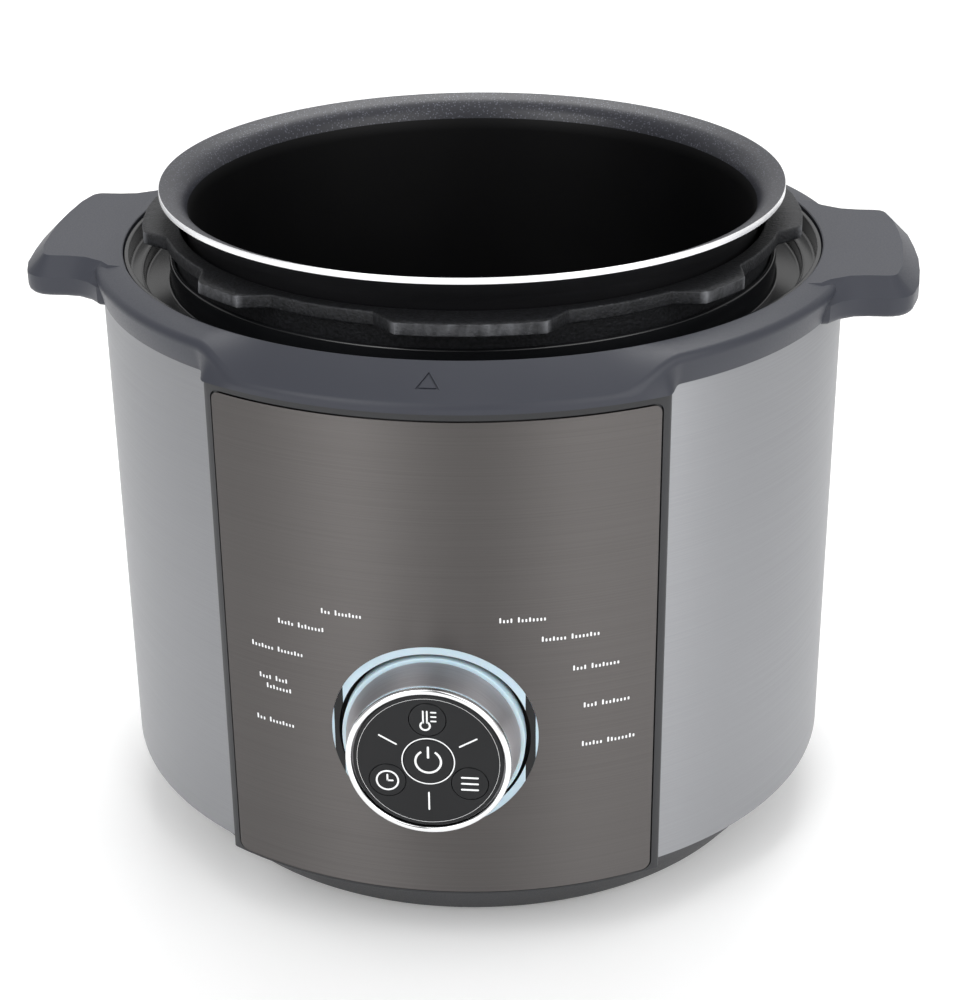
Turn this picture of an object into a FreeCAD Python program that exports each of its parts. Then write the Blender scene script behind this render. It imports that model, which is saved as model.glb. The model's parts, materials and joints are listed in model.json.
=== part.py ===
import FreeCAD, Part
import os
import re
import Sketcher
from FreeCAD import Placement, Rotation, Vector

# Electric pressure cooker with its lid off. It stands on z = 0, its body's axis is z,
# its dial faces -y and its condensate cup hangs at +y. Millimetres.

SIZES = {
    "base and shell": (
        ("FootHeight", 2.5), ("FootRadius", 9), ("FootInset", 24), ("FootPlug", 1),
        ("BaseInset", 22.5), ("BaseStep", 2), ("BaseTop", 28.5), ("BaseWall", 2.5),
        ("FlangeWidth", 16), ("FlangeHeight", 6), ("SpigotHeight", 7), ("SpigotWall", 2.5),
        ("PlateGap", 0.8), ("VentWidth", 4), ("VentLength", 34), ("VentCircle", 62), ("VentPitch", 10),
        ("ScrewInset", 10), ("ScrewRadius", 1.5), ("ScrewHeadRadius", 3), ("ScrewHead", 1.6),
        ("ScrewBite", 3), ("ScrewGap", 0.05), ("ShellGap", 31.5), ("ShellWall", 0.8),
        ("ShellLift", 0.5), ("ShellHeight", 197), ("ShellHalfWindow", 34), ("WindowGap", 0.2),
        ("CutPast", 1),
    ),
    "collar and handles": (
        ("CollarWidth", 8.5), ("CollarHeight", 13.6), ("CollarStep", 0.8), ("CollarLap", 0.3),
        ("CreaseReach", 3.3), ("CreaseFall", 2.4), ("CreaseDrop", 2), ("CreaseRound", 1),
        ("LobeReach", 2.5), ("LobeRise", 3), ("LobeSlack", 0.5), ("EdgeBreak", 0.6),
        ("HandleLength", 29), ("HandleHalfWidth", 47), ("HandleDrop", 1.5), ("HandleChamfer", 7),
        ("HandleCorner", 9), ("HandleBow", 4), ("HandleEase", 3), ("HandleRoot", 30),
    ),
    "condensation ring": (
        ("RingClear", 0.5), ("RingSeat", 0.3), ("RingWall", 2), ("RingDrop", 1.2), ("LedgeWidth", 8),
        ("LedgeRise", 5.5), ("GutterDepth", 10), ("SpoutHalfWidth", 6), ("SpoutDepth", 10),
        ("SpoutOverCup", 9.6), ("SpoutWall", 1.5), ("DrainLength", 5.5),
    ),
    "outer pot and heater": (
        ("PotGap", 2.4), ("OuterPotWall", 2.5), ("OuterPotCorner", 8), ("HeaterSpace", 21),
        ("LugRise", 10.1), ("LugThickness", 5.5), ("LugReach", 15), ("LugStep", 7),
        ("LugTurn", 5.7), ("WideLug", 14), ("NarrowLug", 7), ("FloorHole", 40),
        ("ShieldGap", 4), ("ShieldWall", 0.6), ("ShieldDrop", 24),
        ("SupportInset", 2), ("SupportWidth", 14), ("SupportWall", 2), ("SupportFoot", 8),
        ("SupportShelf", 14), ("SupportLip", 3), ("SupportTurn", 65),
        ("HeaterRadius", 92), ("HeaterWall", 12), ("HeaterBevel", 1.5), ("HeaterTaper", 6),
        ("SensorHole", 14), ("SensorRadius", 12.5), ("SensorHeight", 14), ("SensorSkin", 1.2),
        ("StrapHalfWidth", 4), ("StrapDrop", 6), ("StrapReach", 8), ("SensorSpringRadius", 3),
        ("SensorSpringWire", 0.8), ("ElementCircle", 68), ("ElementRadius", 3.5), ("ElementDepth", 3),
        ("TerminalSpan", 27), ("TerminalRadius", 3), ("TerminalLength", 16), ("SpringCircle", 80),
        ("SpringRadius", 6), ("SpringWire", 1), ("SlideGap", 0.3),
    ),
    "inner pot": (
        ("PotInner", 111), ("PotWall", 1.6), ("PotDepth", 158.5), ("PotRise", 13.8),
        ("PotRimReach", 11.5), ("PotRimBand", 2.3), ("PotFlare", 9), ("PotCorner", 14),
    ),
    "control panel": (
        ("PanelStand", 5.5), ("PanelWall", 1), ("PanelProud", 0.4), ("PanelGap", 0.4),
        ("PanelSideGap", 0.15), ("FrameGap", 0.5), ("FrameSlack", 0.8), ("FrameBorder", 1.8),
        ("FrameFall", 1), ("FrameLip", 2.9), ("FrameSill", 1.2),
    ),
    "dial": (
        ("DialHeight", 97), ("LightOuter", 38), ("LightWidth", 2.8), ("LightGap", 0.1),
        ("DialGap", 1.7), ("FootStep", 1.4), ("DialTaper", 2.2), ("DialStand", 16.2),
        ("DialSink", 5.5), ("DrumSkin", 2), ("RimWall", 2.2), ("RimDepth", 3), ("DrumWall", 3),
        ("DialWeb", 2.5), ("WebSink", 10.6), ("HubWall", 3), ("RunClear", 0.05),
        ("FaceGap", 0.5), ("FaceSink", 1), ("FaceWall", 1.6), ("FaceSkirt", 0.6), ("KeyGap", 0.3),
        ("StartKeyRadius", 8.9), ("SideKeyRadius", 6.6), ("KeyCircle", 17.2), ("KeyProud", 0.2),
        ("KeyFlange", 0.5), ("FlangeWall", 1), ("KeyStem", 2), ("KeyStemRadius", 2), ("KeyTravel", 0.6),
        ("BoardSink", 7.8), ("BoardWall", 1.6), ("KeyBoardInset", 1.7), ("SwitchSide", 5),
        ("PostRadius", 13), ("PostBore", 9), ("PostPlate", 3), ("PlateClear", 0.35),
        ("PlateBorder", 0.5), ("EarLength", 15.5), ("EarHalfWidth", 8), ("BossRadius", 4),
        ("BossInset", 6), ("RotorRadius", 22), ("RotorWall", 1.5), ("RotorGap", 0.5),
        ("LedBoardWall", 1.2), ("LedBoardGap", 3),
    ),
    "electronics": (
        ("BoardHalfWidth", 44), ("BoardHalfHeight", 47), ("BoardSpace", 2), ("SpacerAcross", 30),
        ("SpacerUp", 20), ("SpacerHalfSide", 2), ("PowerBoardLength", 90), ("PowerBoardWidth", 64),
        ("PowerBoardInset", 16), ("PowerBoardY", -34), ("PowerBoardZ", 20),
        ("StandoffRadius", 3), ("StandoffInset", 6),
    ),
    "inlet and cup": (
        ("InletHeight", 52), ("InletHalfWidth", 12.2), ("InletHalfHeight", 8), ("InletDepth", 17),
        ("InletWall", 2), ("InletFlange", 6), ("InletFlangeWall", 2.5), ("PinWidth", 4),
        ("PinThickness", 2), ("PinLength", 13), ("PinSpacing", 7), ("PinDrop", 2), ("EarthOffset", 4),
        ("CupStand", 1.9), ("CupDepth", 19.8), ("CupHalfWidth", 32), ("CupFall", 12),
        ("CupHeight", 54), ("CupWall", 1.6), ("RibWidth", 4), ("RibHeight", 2), ("RibDrop", 6),
        ("HolderWall", 1.3), ("HolderDrop", 24), ("HolderMargin", 2), ("HolderLugs", 22),
        ("HolderLugHalfWidth", 4), ("HolderLugHeight", 20), ("RailHeight", 3), ("RailLength", 13.6),
    ),
}

# Places and radii that follow from the sizes. The inner pot drives the whole cooker.
PLACES = {
    "OuterPotInner": "PotInner + PotWall + PotGap",
    "ShellRadius": "OuterPotInner + ShellGap",
    "BaseRimRadius": "ShellRadius - BaseInset",
    "BaseTopRadius": "ShellRadius - BaseStep",
    "FlangeInner": "BaseRimRadius - FlangeWidth",
    "FootCircle": "BaseRimRadius - FootInset",
    "ScrewCircle": "BaseRimRadius - ScrewInset",
    "PlateBottom": "FootHeight + FootPlug",
    "FlangeTop": "FlangeHeight + BaseWall",
    "ShellBottom": "BaseTop + ShellLift",
    "ShellTop": "ShellBottom + ShellHeight",
    "CollarInner": "ShellRadius - CollarWidth",
    "CollarTop": "ShellTop + CollarHeight",
    "CreaseRadius": "ShellRadius + CreaseReach",
    "CreaseTop": "CollarTop - CreaseFall",
    "CollarFoot": "ShellRadius + CollarStep",
    "LobeRadius": "PanelRadius + LobeReach",
    "LobeCrease": "ShellTop + LobeRise",
    "LobeHalfAngle": "ShellHalfWindow - LobeSlack",
    "HandleReach": "ShellRadius + HandleLength",
    "HandleBottom": "ShellTop - HandleDrop",
    "RingOuter": "CollarInner - RingSeat",
    "RingTop": "CollarTop - RingDrop",
    "LedgeInner": "CollarInner - LedgeWidth",
    "LedgeTop": "ShellTop + LedgeRise",
    "GutterFloor": "ShellTop",
    "GutterLip": "GutterFloor + GutterDepth",
    "DrainEnd": "LedgeInner - RingClear",
    "DrainStart": "DrainEnd - DrainLength",
    "SpoutBottom": "ShellTop - SpoutDepth",
    "SpoutReach": "CupBack + SpoutOverCup",
    "OuterPotOuter": "OuterPotInner + OuterPotWall",
    "OuterPotFloor": "PotBottom - HeaterSpace",
    "LugTop": "CollarTop + LugRise",
    "LugRadius": "OuterPotInner + LugReach",
    "LugRecess": "OuterPotInner + LugStep",
    "ShieldRadius": "OuterPotOuter + ShieldGap",
    "ShieldBottom": "OuterPotFloor - ShieldDrop",
    "SupportCircle": "OuterPotInner - SupportInset",
    "HeaterTop": "PotBottom - SlideGap",
    "HeaterBottom": "HeaterTop - HeaterWall",
    "PotTop": "LugTop + PotRise",
    "PotBottom": "PotTop - PotDepth",
    "PotRimRadius": "PotInner + PotRimReach",
    "PanelRadius": "ShellRadius + PanelStand",
    "FrameRadius": "PanelRadius - PanelProud",
    "FrameInner": "ShellRadius + FrameGap",
    "FrameHalfAngle": "ShellHalfWindow - FrameSlack",
    "PanelHalfAngle": "FrameHalfAngle - FrameBorder",
    "FrameTop": "ShellTop - FrameFall",
    "PanelTop": "FrameTop - FrameLip",
    "PanelBottom": "ShellBottom + FrameSill",
    "LightInner": "LightOuter - LightWidth",
    "DialFoot": "LightInner - DialGap",
    "DialShoulder": "DialFoot - FootStep",
    "DialNose": "DialShoulder - DialTaper",
    "DialFront": "PanelRadius + DialStand",
    "DialStart": "PanelRadius - DialSink",
    "RimBore": "DialNose - RimWall",
    "DrumBore": "DialNose - DrumWall",
    "WebFront": "DialFront - WebSink",
    "FaceRadius": "RimBore - FaceGap",
    "FaceFront": "DialFront - FaceSink",
    "FaceBack": "FaceFront - FaceWall",
    "BoardFront": "DialFront - BoardSink",
    "KeyBoardRadius": "FaceRadius - KeyBoardInset",
    "PostPlateRadius": "LightOuter + PlateBorder",
    "PostPlateFront": "sqrt((FrameInner - PlateClear) ^ 2 - PostPlateRadius ^ 2)",
    "PostPlateBack": "PostPlateFront - PostPlate",
    "EarReach": "PostPlateRadius + EarLength",
    "HubBore": "PostRadius + RunClear",
    "HubBack": "DialStart - CutPast",
    "PowerBoardX": "PowerBoardInset - FlangeInner",
    "PowerBoardTop": "PowerBoardZ + BoardWall",
    "InletFace": "ShellRadius + InletFlangeWall",
    "CupBack": "ShellRadius + CupStand",
    "CupFront": "CupBack + CupDepth",
    "CupTop": "ShellTop - CupFall",
    "CupBottom": "CupTop - CupHeight",
    "RailEnd": "CupBack + RailLength",
    "RailTop": "CupTop - RibDrop - SlideGap",
}

doc = FreeCAD.newDocument("PressureCooker")
sheet = doc.addObject("Spreadsheet::Sheet", "Sizes")
nodes = {}


def fill_sheet():
    row = 1
    for section, sizes in SIZES.items():
        sheet.set("A%d" % row, section)
        row += 1
        for alias, size in sizes:
            sheet.set("A%d" % row, alias)
            sheet.set("B%d" % row, str(size))
            sheet.setAlias("B%d" % row, alias)
            row += 1
    doc.recompute()


def written_out(text):
    """Replaces each place by what it follows from, until only sizes are left."""
    longer = re.sub(r"[A-Z]\w+", lambda word: "(%s)" % PLACES.get(word.group(0), word.group(0)), text)
    sizes_only = not any(word in PLACES for word in re.findall(r"[A-Z]\w+", longer))
    return longer if sizes_only else written_out(longer)


def value(text):
    return float(sheet.evalExpression(written_out(text)))


def bound(text):
    """An expression for another object: every size name becomes a reference to the sheet."""
    return re.sub(r"[A-Z]\w+", lambda word: "Sizes." + word.group(0), written_out(text))


def bind(item, sizes):
    for name, text in sizes.items():
        item.setExpression(name, bound(text))
    return item


def make(kind, label):
    item = doc.addObject(kind, label)
    item.Label = label
    return item


def node(name, item):
    """Registers a finished sub-part under the name of its file."""
    item.Label = name
    nodes[name] = item
    return item


def box(label, low, high):
    """A box between two corners, each given as three size expressions."""
    item = make("Part::Box", label)
    names = ("Length", "Width", "Height")
    axes = ("x", "y", "z")
    for size, axis, start, end in zip(names, axes, low, high):
        bind(item, {size: "(%s) - (%s)" % (end, start), "Placement.Base." + axis: start})
    return item


def rod(label, radius, low, high, x="0", y="0"):
    item = make("Part::Cylinder", label)
    bind(item, {"Radius": radius, "Height": "(%s) - (%s)" % (high, low), "Placement.Base.z": low})
    return bind(item, {"Placement.Base.x": x, "Placement.Base.y": y})


def cut(label, base, *tools):
    item = make("Part::Cut", label)
    item.Base = base
    item.Tool = tools[0] if len(tools) == 1 else fuse(label + "_tools", *tools)
    return item


def fuse(label, *parts):
    item = make("Part::MultiFuse", label)
    item.Shapes = list(parts)
    return item


def common(label, *parts):
    item = make("Part::MultiCommon", label)
    item.Shapes = list(parts)
    return item


def sector(item, half_angle, centre="270"):
    """Limits a cylinder to a wedge about a bearing: 270 is the front, 0 the right handle."""
    item.Placement.Rotation = Rotation(Vector(0, 0, 1), 1)
    return bind(item, {"Angle": "2 * (%s)" % half_angle,
                       "Placement.Rotation.Angle": "(%s) - (%s)" % (centre, half_angle)})


def tube(label, outer, inner, low, high):
    return cut(label, rod(label + "_outside", outer, low, high), rod(label + "_bore", inner, low, high))


def wedge_tube(label, outer, inner, low, high, half_angle, centre="270"):
    outside = sector(rod(label + "_outside", outer, low, high), half_angle, centre)
    return cut(label, outside, rod(label + "_bore", inner, low, high))


def closed_outline(sketch, points):
    """Draws a polygon whose corners are bound to the sheet. A corner is (across, up)."""
    places = [Vector(value(across), value(up), 0) for across, up in points]
    count = len(points)
    for index in range(count):
        following = (index + 1) % count
        sketch.addGeometry(Part.LineSegment(places[index], places[following]), False)
        if index:
            sketch.addConstraint(Sketcher.Constraint("Coincident", index - 1, 2, index, 1))
    sketch.addConstraint(Sketcher.Constraint("Coincident", count - 1, 2, 0, 1))
    for index, corner in enumerate(points):
        for kind, text in zip(("DistanceX", "DistanceY"), corner):
            row = sketch.addConstraint(Sketcher.Constraint(kind, -1, 1, index, 1, value(text)))
            sketch.setExpression("Constraints[%d]" % row, bound(text))


def sketched_body(label, points, plane):
    body = make("PartDesign::Body", label)
    sketch = body.newObject("Sketcher::SketchObject", label + "_outline")
    origin_plane = [item for item in body.Origin.OriginFeatures if item.Role == plane][0]
    sketch.AttachmentSupport = (origin_plane, [""])
    sketch.MapMode = "FlatFace"
    closed_outline(sketch, points)
    return body, sketch


def lathe(label, points, half_angle="180", centre=-90):
    """Turns an outline of (radius, height) corners about z, to both sides of a bearing."""
    body, sketch = sketched_body(label, points, "XZ_Plane")
    turned = body.newObject("PartDesign::Revolution", label + "_turned")
    turned.Profile = sketch
    turned.ReferenceAxis = (sketch, ["V_Axis"])
    turned.Midplane = True
    bind(turned, {"Angle": "2 * (%s)" % half_angle})
    body.Tip = turned
    body.Placement = Placement(Vector(0, 0, 0), Rotation(Vector(0, 0, 1), centre))
    return body


def slab(label, points, low, high, plane="XY_Plane"):
    """Pads an outline of (x, y) corners between two heights, or between two x on the YZ plane."""
    body, sketch = sketched_body(label, points, plane)
    pad = body.newObject("PartDesign::Pad", label + "_pad")
    pad.Profile = sketch
    bind(pad, {"Length": "(%s) - (%s)" % (high, low)})
    body.Tip = pad
    axis = "x" if plane == "YZ_Plane" else "z"
    return bind(body, {"Placement.Base." + axis: low})


def ring_of(label, piece, count, circle, start, radius, low, high):
    """Several equal round pieces on a circle, such as feet or screws."""
    parts = []
    for index in range(count):
        angle = "(%s + %g)" % (start, 360.0 * index / count)
        parts.append(rod("%s_%s_%d" % (label, piece, index), radius, low, high,
                         "(%s) * cos(%s)" % (circle, angle), "(%s) * sin(%s)" % (circle, angle)))
    return fuse(label + "_" + piece, *parts)


def face_forward(item):
    """Stands a lathe or boolean made about z on the dial's axis, its top towards the front."""
    item.Placement = Placement(Vector(0, 0, 0), Rotation(Vector(1, 0, 0), 90))
    return bind(item, {"Placement.Base.z": "DialHeight"})


def axle(label, radius, back, front, up="0"):
    """A rod along the dial's axis, between two distances in front of the cooker's axis."""
    item = make("Part::Cylinder", label)
    item.Placement = Placement(Vector(0, 0, 0), Rotation(Vector(1, 0, 0), 90))
    return bind(item, {"Radius": radius, "Height": "(%s) - (%s)" % (front, back),
                       "Placement.Base.y": "-(%s)" % back, "Placement.Base.z": "DialHeight + (%s)" % up})


# Base: a tapering bowl, the plate that closes it, its feet and screws.

def base_housing():
    spigot = "ShellRadius - ShellWall"
    bowl = lathe("base_bowl", [
        ("BaseRimRadius", "FootHeight"), ("BaseTopRadius", "BaseTop"),
        (spigot, "ShellBottom"), (spigot, "ShellBottom + SpigotHeight"),
        (spigot + " - SpigotWall", "ShellBottom + SpigotHeight"), (spigot + " - SpigotWall", "BaseTop"),
        ("BaseRimRadius + 1", "FlangeTop"), ("FlangeInner", "FlangeTop"), ("FlangeInner", "FlangeHeight"),
        ("BaseRimRadius - BaseWall", "FlangeHeight"), ("BaseRimRadius - BaseWall", "FootHeight"),
    ])
    holes = ring_of("base_housing", "holes", 4, "ScrewCircle", "20", "ScrewRadius + ScrewGap",
                    "FootHeight", "FlangeTop + CutPast")
    node("base_housing", cut("base_housing_part", bowl, holes))


def base_plate():
    disc = rod("base_plate_disc", "BaseRimRadius - BaseWall - PlateGap", "PlateBottom", "FlangeHeight")
    holes = ring_of("base_plate", "holes", 4, "ScrewCircle", "20", "ScrewRadius + ScrewGap",
                    "FootHeight", "FlangeHeight + CutPast")
    vents = []
    for row in range(-4, 5):
        centre = "%d * VentPitch" % row
        for side, middle in (("left", "-VentCircle"), ("right", "VentCircle")):
            start = middle + " - VentLength / 2"
            low = (start, centre + " - VentWidth / 2", "FootHeight")
            high = (start + " + VentLength", centre + " + VentWidth / 2", "FlangeHeight + CutPast")
            vents.append(box("base_vent_%s_%d" % (side, row + 4), low, high))
    node("base_plate", cut("base_plate_part", disc, holes, *vents))


def rubber_feet():
    node("rubber_feet", ring_of("rubber_feet", "pads", 4, "FootCircle", "45", "FootRadius",
                                "0", "PlateBottom"))


def base_screws():
    shafts = ring_of("base_screws", "shafts", 4, "ScrewCircle", "20", "ScrewRadius",
                     "PlateBottom", "FlangeTop + ScrewBite")
    heads = ring_of("base_screws", "heads", 4, "ScrewCircle", "20", "ScrewHeadRadius",
                    "PlateBottom - ScrewHead", "PlateBottom")
    node("base_screws", fuse("base_screws_all", shafts, heads))


# Shell, collar with its two handles, and the condensation ring inside the collar.

def shell_window(label, half_width, low, high):
    """A cutting box through the back of the shell."""
    return box(label, ("-(%s)" % half_width, "ShellRadius - HandleRoot", low),
               (half_width, "ShellRadius + CutPast", high))


def outer_shell():
    wrap = "180 - ShellHalfWindow"
    skin = wedge_tube("shell_skin", "ShellRadius", "ShellRadius - ShellWall",
                      "ShellBottom", "ShellTop", wrap, "90")
    border = "InletWall + WindowGap"
    inlet_window = shell_window("shell_inlet_window", "InletHalfWidth + " + border,
                                "InletHeight - InletHalfHeight - (%s)" % border,
                                "InletHeight + InletHalfHeight + " + border)
    spout_window = shell_window("shell_spout_window", "SpoutHalfWidth + WindowGap",
                                "SpoutBottom - WindowGap", "GutterFloor - RingWall")
    node("outer_shell", cut("outer_shell_part", skin, inlet_window, spout_window))


def handle(side, sign):
    """One handle: a slab with chamfered long edges, cut to its plan and to the collar's bore."""
    bottom = "HandleBottom"
    top = "CollarTop - EdgeBreak"
    ends = ("CollarInner - HandleRoot", "HandleReach")
    low, high = ends if sign > 0 else ("-HandleReach", "HandleRoot - CollarInner")
    section = slab("handle_%s_section" % side, [
        ("-HandleHalfWidth", bottom + " + HandleEase"), ("HandleEase - HandleHalfWidth", bottom),
        ("HandleHalfWidth - HandleEase", bottom), ("HandleHalfWidth", bottom + " + HandleEase"),
        ("HandleHalfWidth", "CollarTop - HandleChamfer"), ("HandleHalfWidth - HandleChamfer", top),
        ("HandleChamfer - HandleHalfWidth", top), ("-HandleHalfWidth", "CollarTop - HandleChamfer"),
    ], low, high, "YZ_Plane")
    root, reach = ["%d * (%s)" % (sign, end) for end in ends]
    bowed = "%d * (HandleReach - HandleBow)" % sign
    straight = "%d * (HandleReach - HandleCorner - HandleBow)" % sign
    plan = slab("handle_%s_plan" % side, [
        (root, "-HandleHalfWidth"), (straight, "-HandleHalfWidth"),
        (bowed, "HandleCorner - HandleHalfWidth"), (reach, "-HandleHalfWidth / 3"),
        (reach, "HandleHalfWidth / 3"), (bowed, "HandleHalfWidth - HandleCorner"),
        (straight, "HandleHalfWidth"), (root, "HandleHalfWidth"),
    ], "HandleBottom - CutPast", "CollarTop + CutPast")
    return common("handle_" + side, section, plan)


def top_collar():
    """The ring round the back and sides, the wider lobe over the panel, and both handles."""
    ring = lathe("collar_ring", [
        ("CollarInner", "ShellTop"), ("CollarFoot", "ShellTop"), ("CreaseRadius", "CreaseTop - CreaseDrop"),
        ("CreaseRadius - CreaseRound", "CreaseTop"), ("CollarInner", "CollarTop"),
    ], "180 - LobeHalfAngle", 90)
    lobe = lathe("collar_lobe", [
        ("CollarInner", "ShellTop"), ("LobeRadius", "ShellTop"), ("LobeRadius", "LobeCrease - EdgeBreak"),
        ("LobeRadius - EdgeBreak", "LobeCrease"), ("CollarInner", "CollarTop"),
    ], "LobeHalfAngle")
    outside = fuse("collar_outside", ring, lobe, handle("right", 1), handle("left", -1))
    bore = rod("collar_bore", "CollarInner", "HandleBottom - CutPast", "CollarTop + CutPast")
    below = rod("collar_below", "ShellRadius + CollarLap", "HandleBottom - CutPast", "ShellTop")
    node("top_collar", cut("top_collar_part", outside, bore, below))


def condensation_ring():
    inner = "OuterPotOuter + RingClear"
    floor_bottom = "GutterFloor - RingWall"
    gutter = lathe("gutter", [
        (inner, floor_bottom), ("LedgeInner + RingWall", floor_bottom),
        ("LedgeInner + RingWall", "LedgeTop - RingWall"), ("RingOuter", "LedgeTop - RingWall"),
        ("RingOuter", "RingTop"), ("RingOuter - RingWall", "RingTop"), ("RingOuter - RingWall", "LedgeTop"),
        ("LedgeInner", "LedgeTop"), ("LedgeInner", "GutterFloor"),
        (inner + " + RingWall", "GutterFloor"), (inner + " + RingWall", "GutterLip"), (inner, "GutterLip"),
    ])
    drain = box("gutter_drain", ("SpoutWall - SpoutHalfWidth", "DrainStart", floor_bottom + " - CutPast"),
                ("SpoutHalfWidth - SpoutWall", "DrainEnd", "GutterFloor + CutPast / 2"))
    node("condensation_ring", cut("condensation_ring_part", gutter, drain))


def drain_spout():
    top = "GutterFloor - RingWall"
    left = "SpoutWall - SpoutHalfWidth"
    right = "SpoutHalfWidth - SpoutWall"
    inside = "SpoutBottom + 2 * SpoutWall"
    block = box("spout_block", ("-SpoutHalfWidth", "ShieldRadius + RingClear", "SpoutBottom"),
                ("SpoutHalfWidth", "SpoutReach", top))
    channel = box("spout_channel", (left, "DrainStart", "SpoutBottom + SpoutWall"),
                  (right, "SpoutReach - SpoutWall", top + " - SpoutWall"))
    inlet = box("spout_inlet", (left, "DrainStart", inside), (right, "DrainEnd", top + " + CutPast"))
    outlet = box("spout_outlet", (left, "SpoutReach - SpoutWall - DrainLength", "SpoutBottom - CutPast"),
                 (right, "SpoutReach - SpoutWall", inside))
    node("drain_spout", cut("drain_spout_part", block, channel, inlet, outlet))


# Outer pot with its bayonet lugs, the shield round it and the brackets under it.

def outer_pot():
    outer = "OuterPotOuter"
    lug_bottom = "LugTop - LugThickness"
    wall = lathe("outer_pot_wall", [
        ("FloorHole", "OuterPotFloor"), (outer + " - OuterPotCorner", "OuterPotFloor"),
        (outer, "OuterPotFloor + OuterPotCorner"), (outer, lug_bottom),
        ("LugRecess", lug_bottom), ("LugRecess", "LugTop"),
        ("OuterPotInner", "LugTop"), ("OuterPotInner", "OuterPotFloor + OuterPotCorner + 1"),
        (outer + " - OuterPotCorner - 1.5", "OuterPotFloor + OuterPotWall"),
        ("FloorHole", "OuterPotFloor + OuterPotWall"),
    ])
    lugs = []
    for index in range(8):
        half_angle = "NarrowLug" if index % 2 else "WideLug"
        centre = "LugTurn + %d" % (270 + 45 * index)
        lugs.append(wedge_tube("lug_%d" % index, "LugRadius", "LugRecess - CutPast",
                               lug_bottom, "LugTop", half_angle, centre))
    node("outer_pot", fuse("outer_pot_part", wall, *lugs))


def heat_shield():
    node("heat_shield", tube("heat_shield_part", "ShieldRadius", "ShieldRadius - ShieldWall",
                             "ShieldBottom", "GutterFloor - RingWall"))


def pot_supports():
    inner = "SupportCircle - SupportWall"
    left, right = "-SupportWidth / 2", "SupportWidth / 2"
    brackets = []
    for index in range(3):
        column = box("support_column_%d" % index, (inner, left, "FlangeTop"),
                     ("SupportCircle", right, "OuterPotFloor + SupportLip"))
        foot = box("support_foot_%d" % index, (inner, left, "FlangeTop"),
                   ("SupportCircle + SupportFoot", right, "FlangeTop + SupportWall"))
        shelf = box("support_shelf_%d" % index,
                    ("SupportCircle - SupportShelf", left, "OuterPotFloor - SupportWall"),
                    ("SupportCircle", right, "OuterPotFloor"))
        pot_space = rod("support_pot_space_%d" % index, "OuterPotOuter",
                        "OuterPotFloor", "OuterPotFloor + SupportLip + CutPast")
        bracket = cut("support_%d" % index, fuse("support_blank_%d" % index, column, foot, shelf), pot_space)
        bracket.Placement.Rotation = Rotation(Vector(0, 0, 1), 1)
        brackets.append(bind(bracket, {"Placement.Rotation.Angle": "SupportTurn + %d" % (120 * index)}))
    node("pot_supports", fuse("pot_supports_all", *brackets))


# Heater: a cast plate on three springs, its element and terminals, and the sensor in its centre.

def heater_plate():
    node("heater_plate", lathe("heater_disc", [
        ("SensorHole", "HeaterBottom"), ("HeaterRadius - HeaterTaper", "HeaterBottom"),
        ("HeaterRadius", "HeaterBottom + HeaterTaper - 1"), ("HeaterRadius", "HeaterTop - HeaterBevel"),
        ("HeaterRadius - HeaterBevel", "HeaterTop"), ("SensorHole", "HeaterTop"),
    ]))


def heating_element():
    """The sheathed element under the plate, an open ring with its gap at the front."""
    node("heating_element", wedge_tube(
        "element_ring", "ElementCircle + ElementRadius", "ElementCircle - ElementRadius",
        "HeaterBottom - ElementDepth", "HeaterBottom", "150", "90"))


def heater_terminals():
    ends = []
    for side, across in (("left", "-TerminalSpan"), ("right", "TerminalSpan")):
        ends.append(rod("terminal_" + side, "TerminalRadius", "HeaterBottom - TerminalLength",
                        "HeaterBottom", across))
    node("heater_terminals", fuse("heater_terminals_all", *ends))


def heater_springs():
    low = "OuterPotFloor + OuterPotWall"
    outsides = ring_of("heater_springs", "outsides", 3, "SpringCircle", "90", "SpringRadius",
                       low, "HeaterBottom")
    bores = ring_of("heater_springs", "bores", 3, "SpringCircle", "90", "SpringRadius - SpringWire",
                    low, "HeaterBottom")
    node("heater_springs", cut("heater_springs_all", outsides, bores))


def sensor_cap():
    inside = "SensorRadius - SensorSkin"
    node("sensor_cap", lathe("sensor_cap_part", [
        (inside, "HeaterTop - SensorHeight"), ("SensorRadius", "HeaterTop - SensorHeight"),
        ("SensorRadius", "HeaterTop - 1"), ("SensorRadius - 1", "HeaterTop"), ("0", "HeaterTop"),
        ("0", "HeaterTop - SensorSkin"), (inside, "HeaterTop - SensorSkin"),
    ]))


def sensor_seat():
    """The cross strap under the plate that carries the sensor's spring."""
    low = "HeaterBottom - StrapDrop"
    far = "(SensorHole + StrapReach)"
    near = "(SensorHole + StrapReach - SpringWire)"
    left, right = "-StrapHalfWidth", "StrapHalfWidth"
    strap = box("sensor_strap_flat", (left, "-" + far, low), (right, far, low + " + SensorSkin"))
    front = box("sensor_leg_front", (left, "-" + far, low), (right, "-" + near, "HeaterBottom"))
    rear = box("sensor_leg_rear", (left, near, low), (right, far, "HeaterBottom"))
    node("sensor_strap", fuse("sensor_strap_all", strap, front, rear))


def sensor_spring():
    node("sensor_spring", tube("sensor_spring_part", "SensorSpringRadius",
                               "SensorSpringRadius - SensorSpringWire",
                               "HeaterBottom - StrapDrop + SensorSkin", "HeaterTop - SensorSkin"))


# Inner pot: a deep drawn pan with a flared rim.

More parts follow.
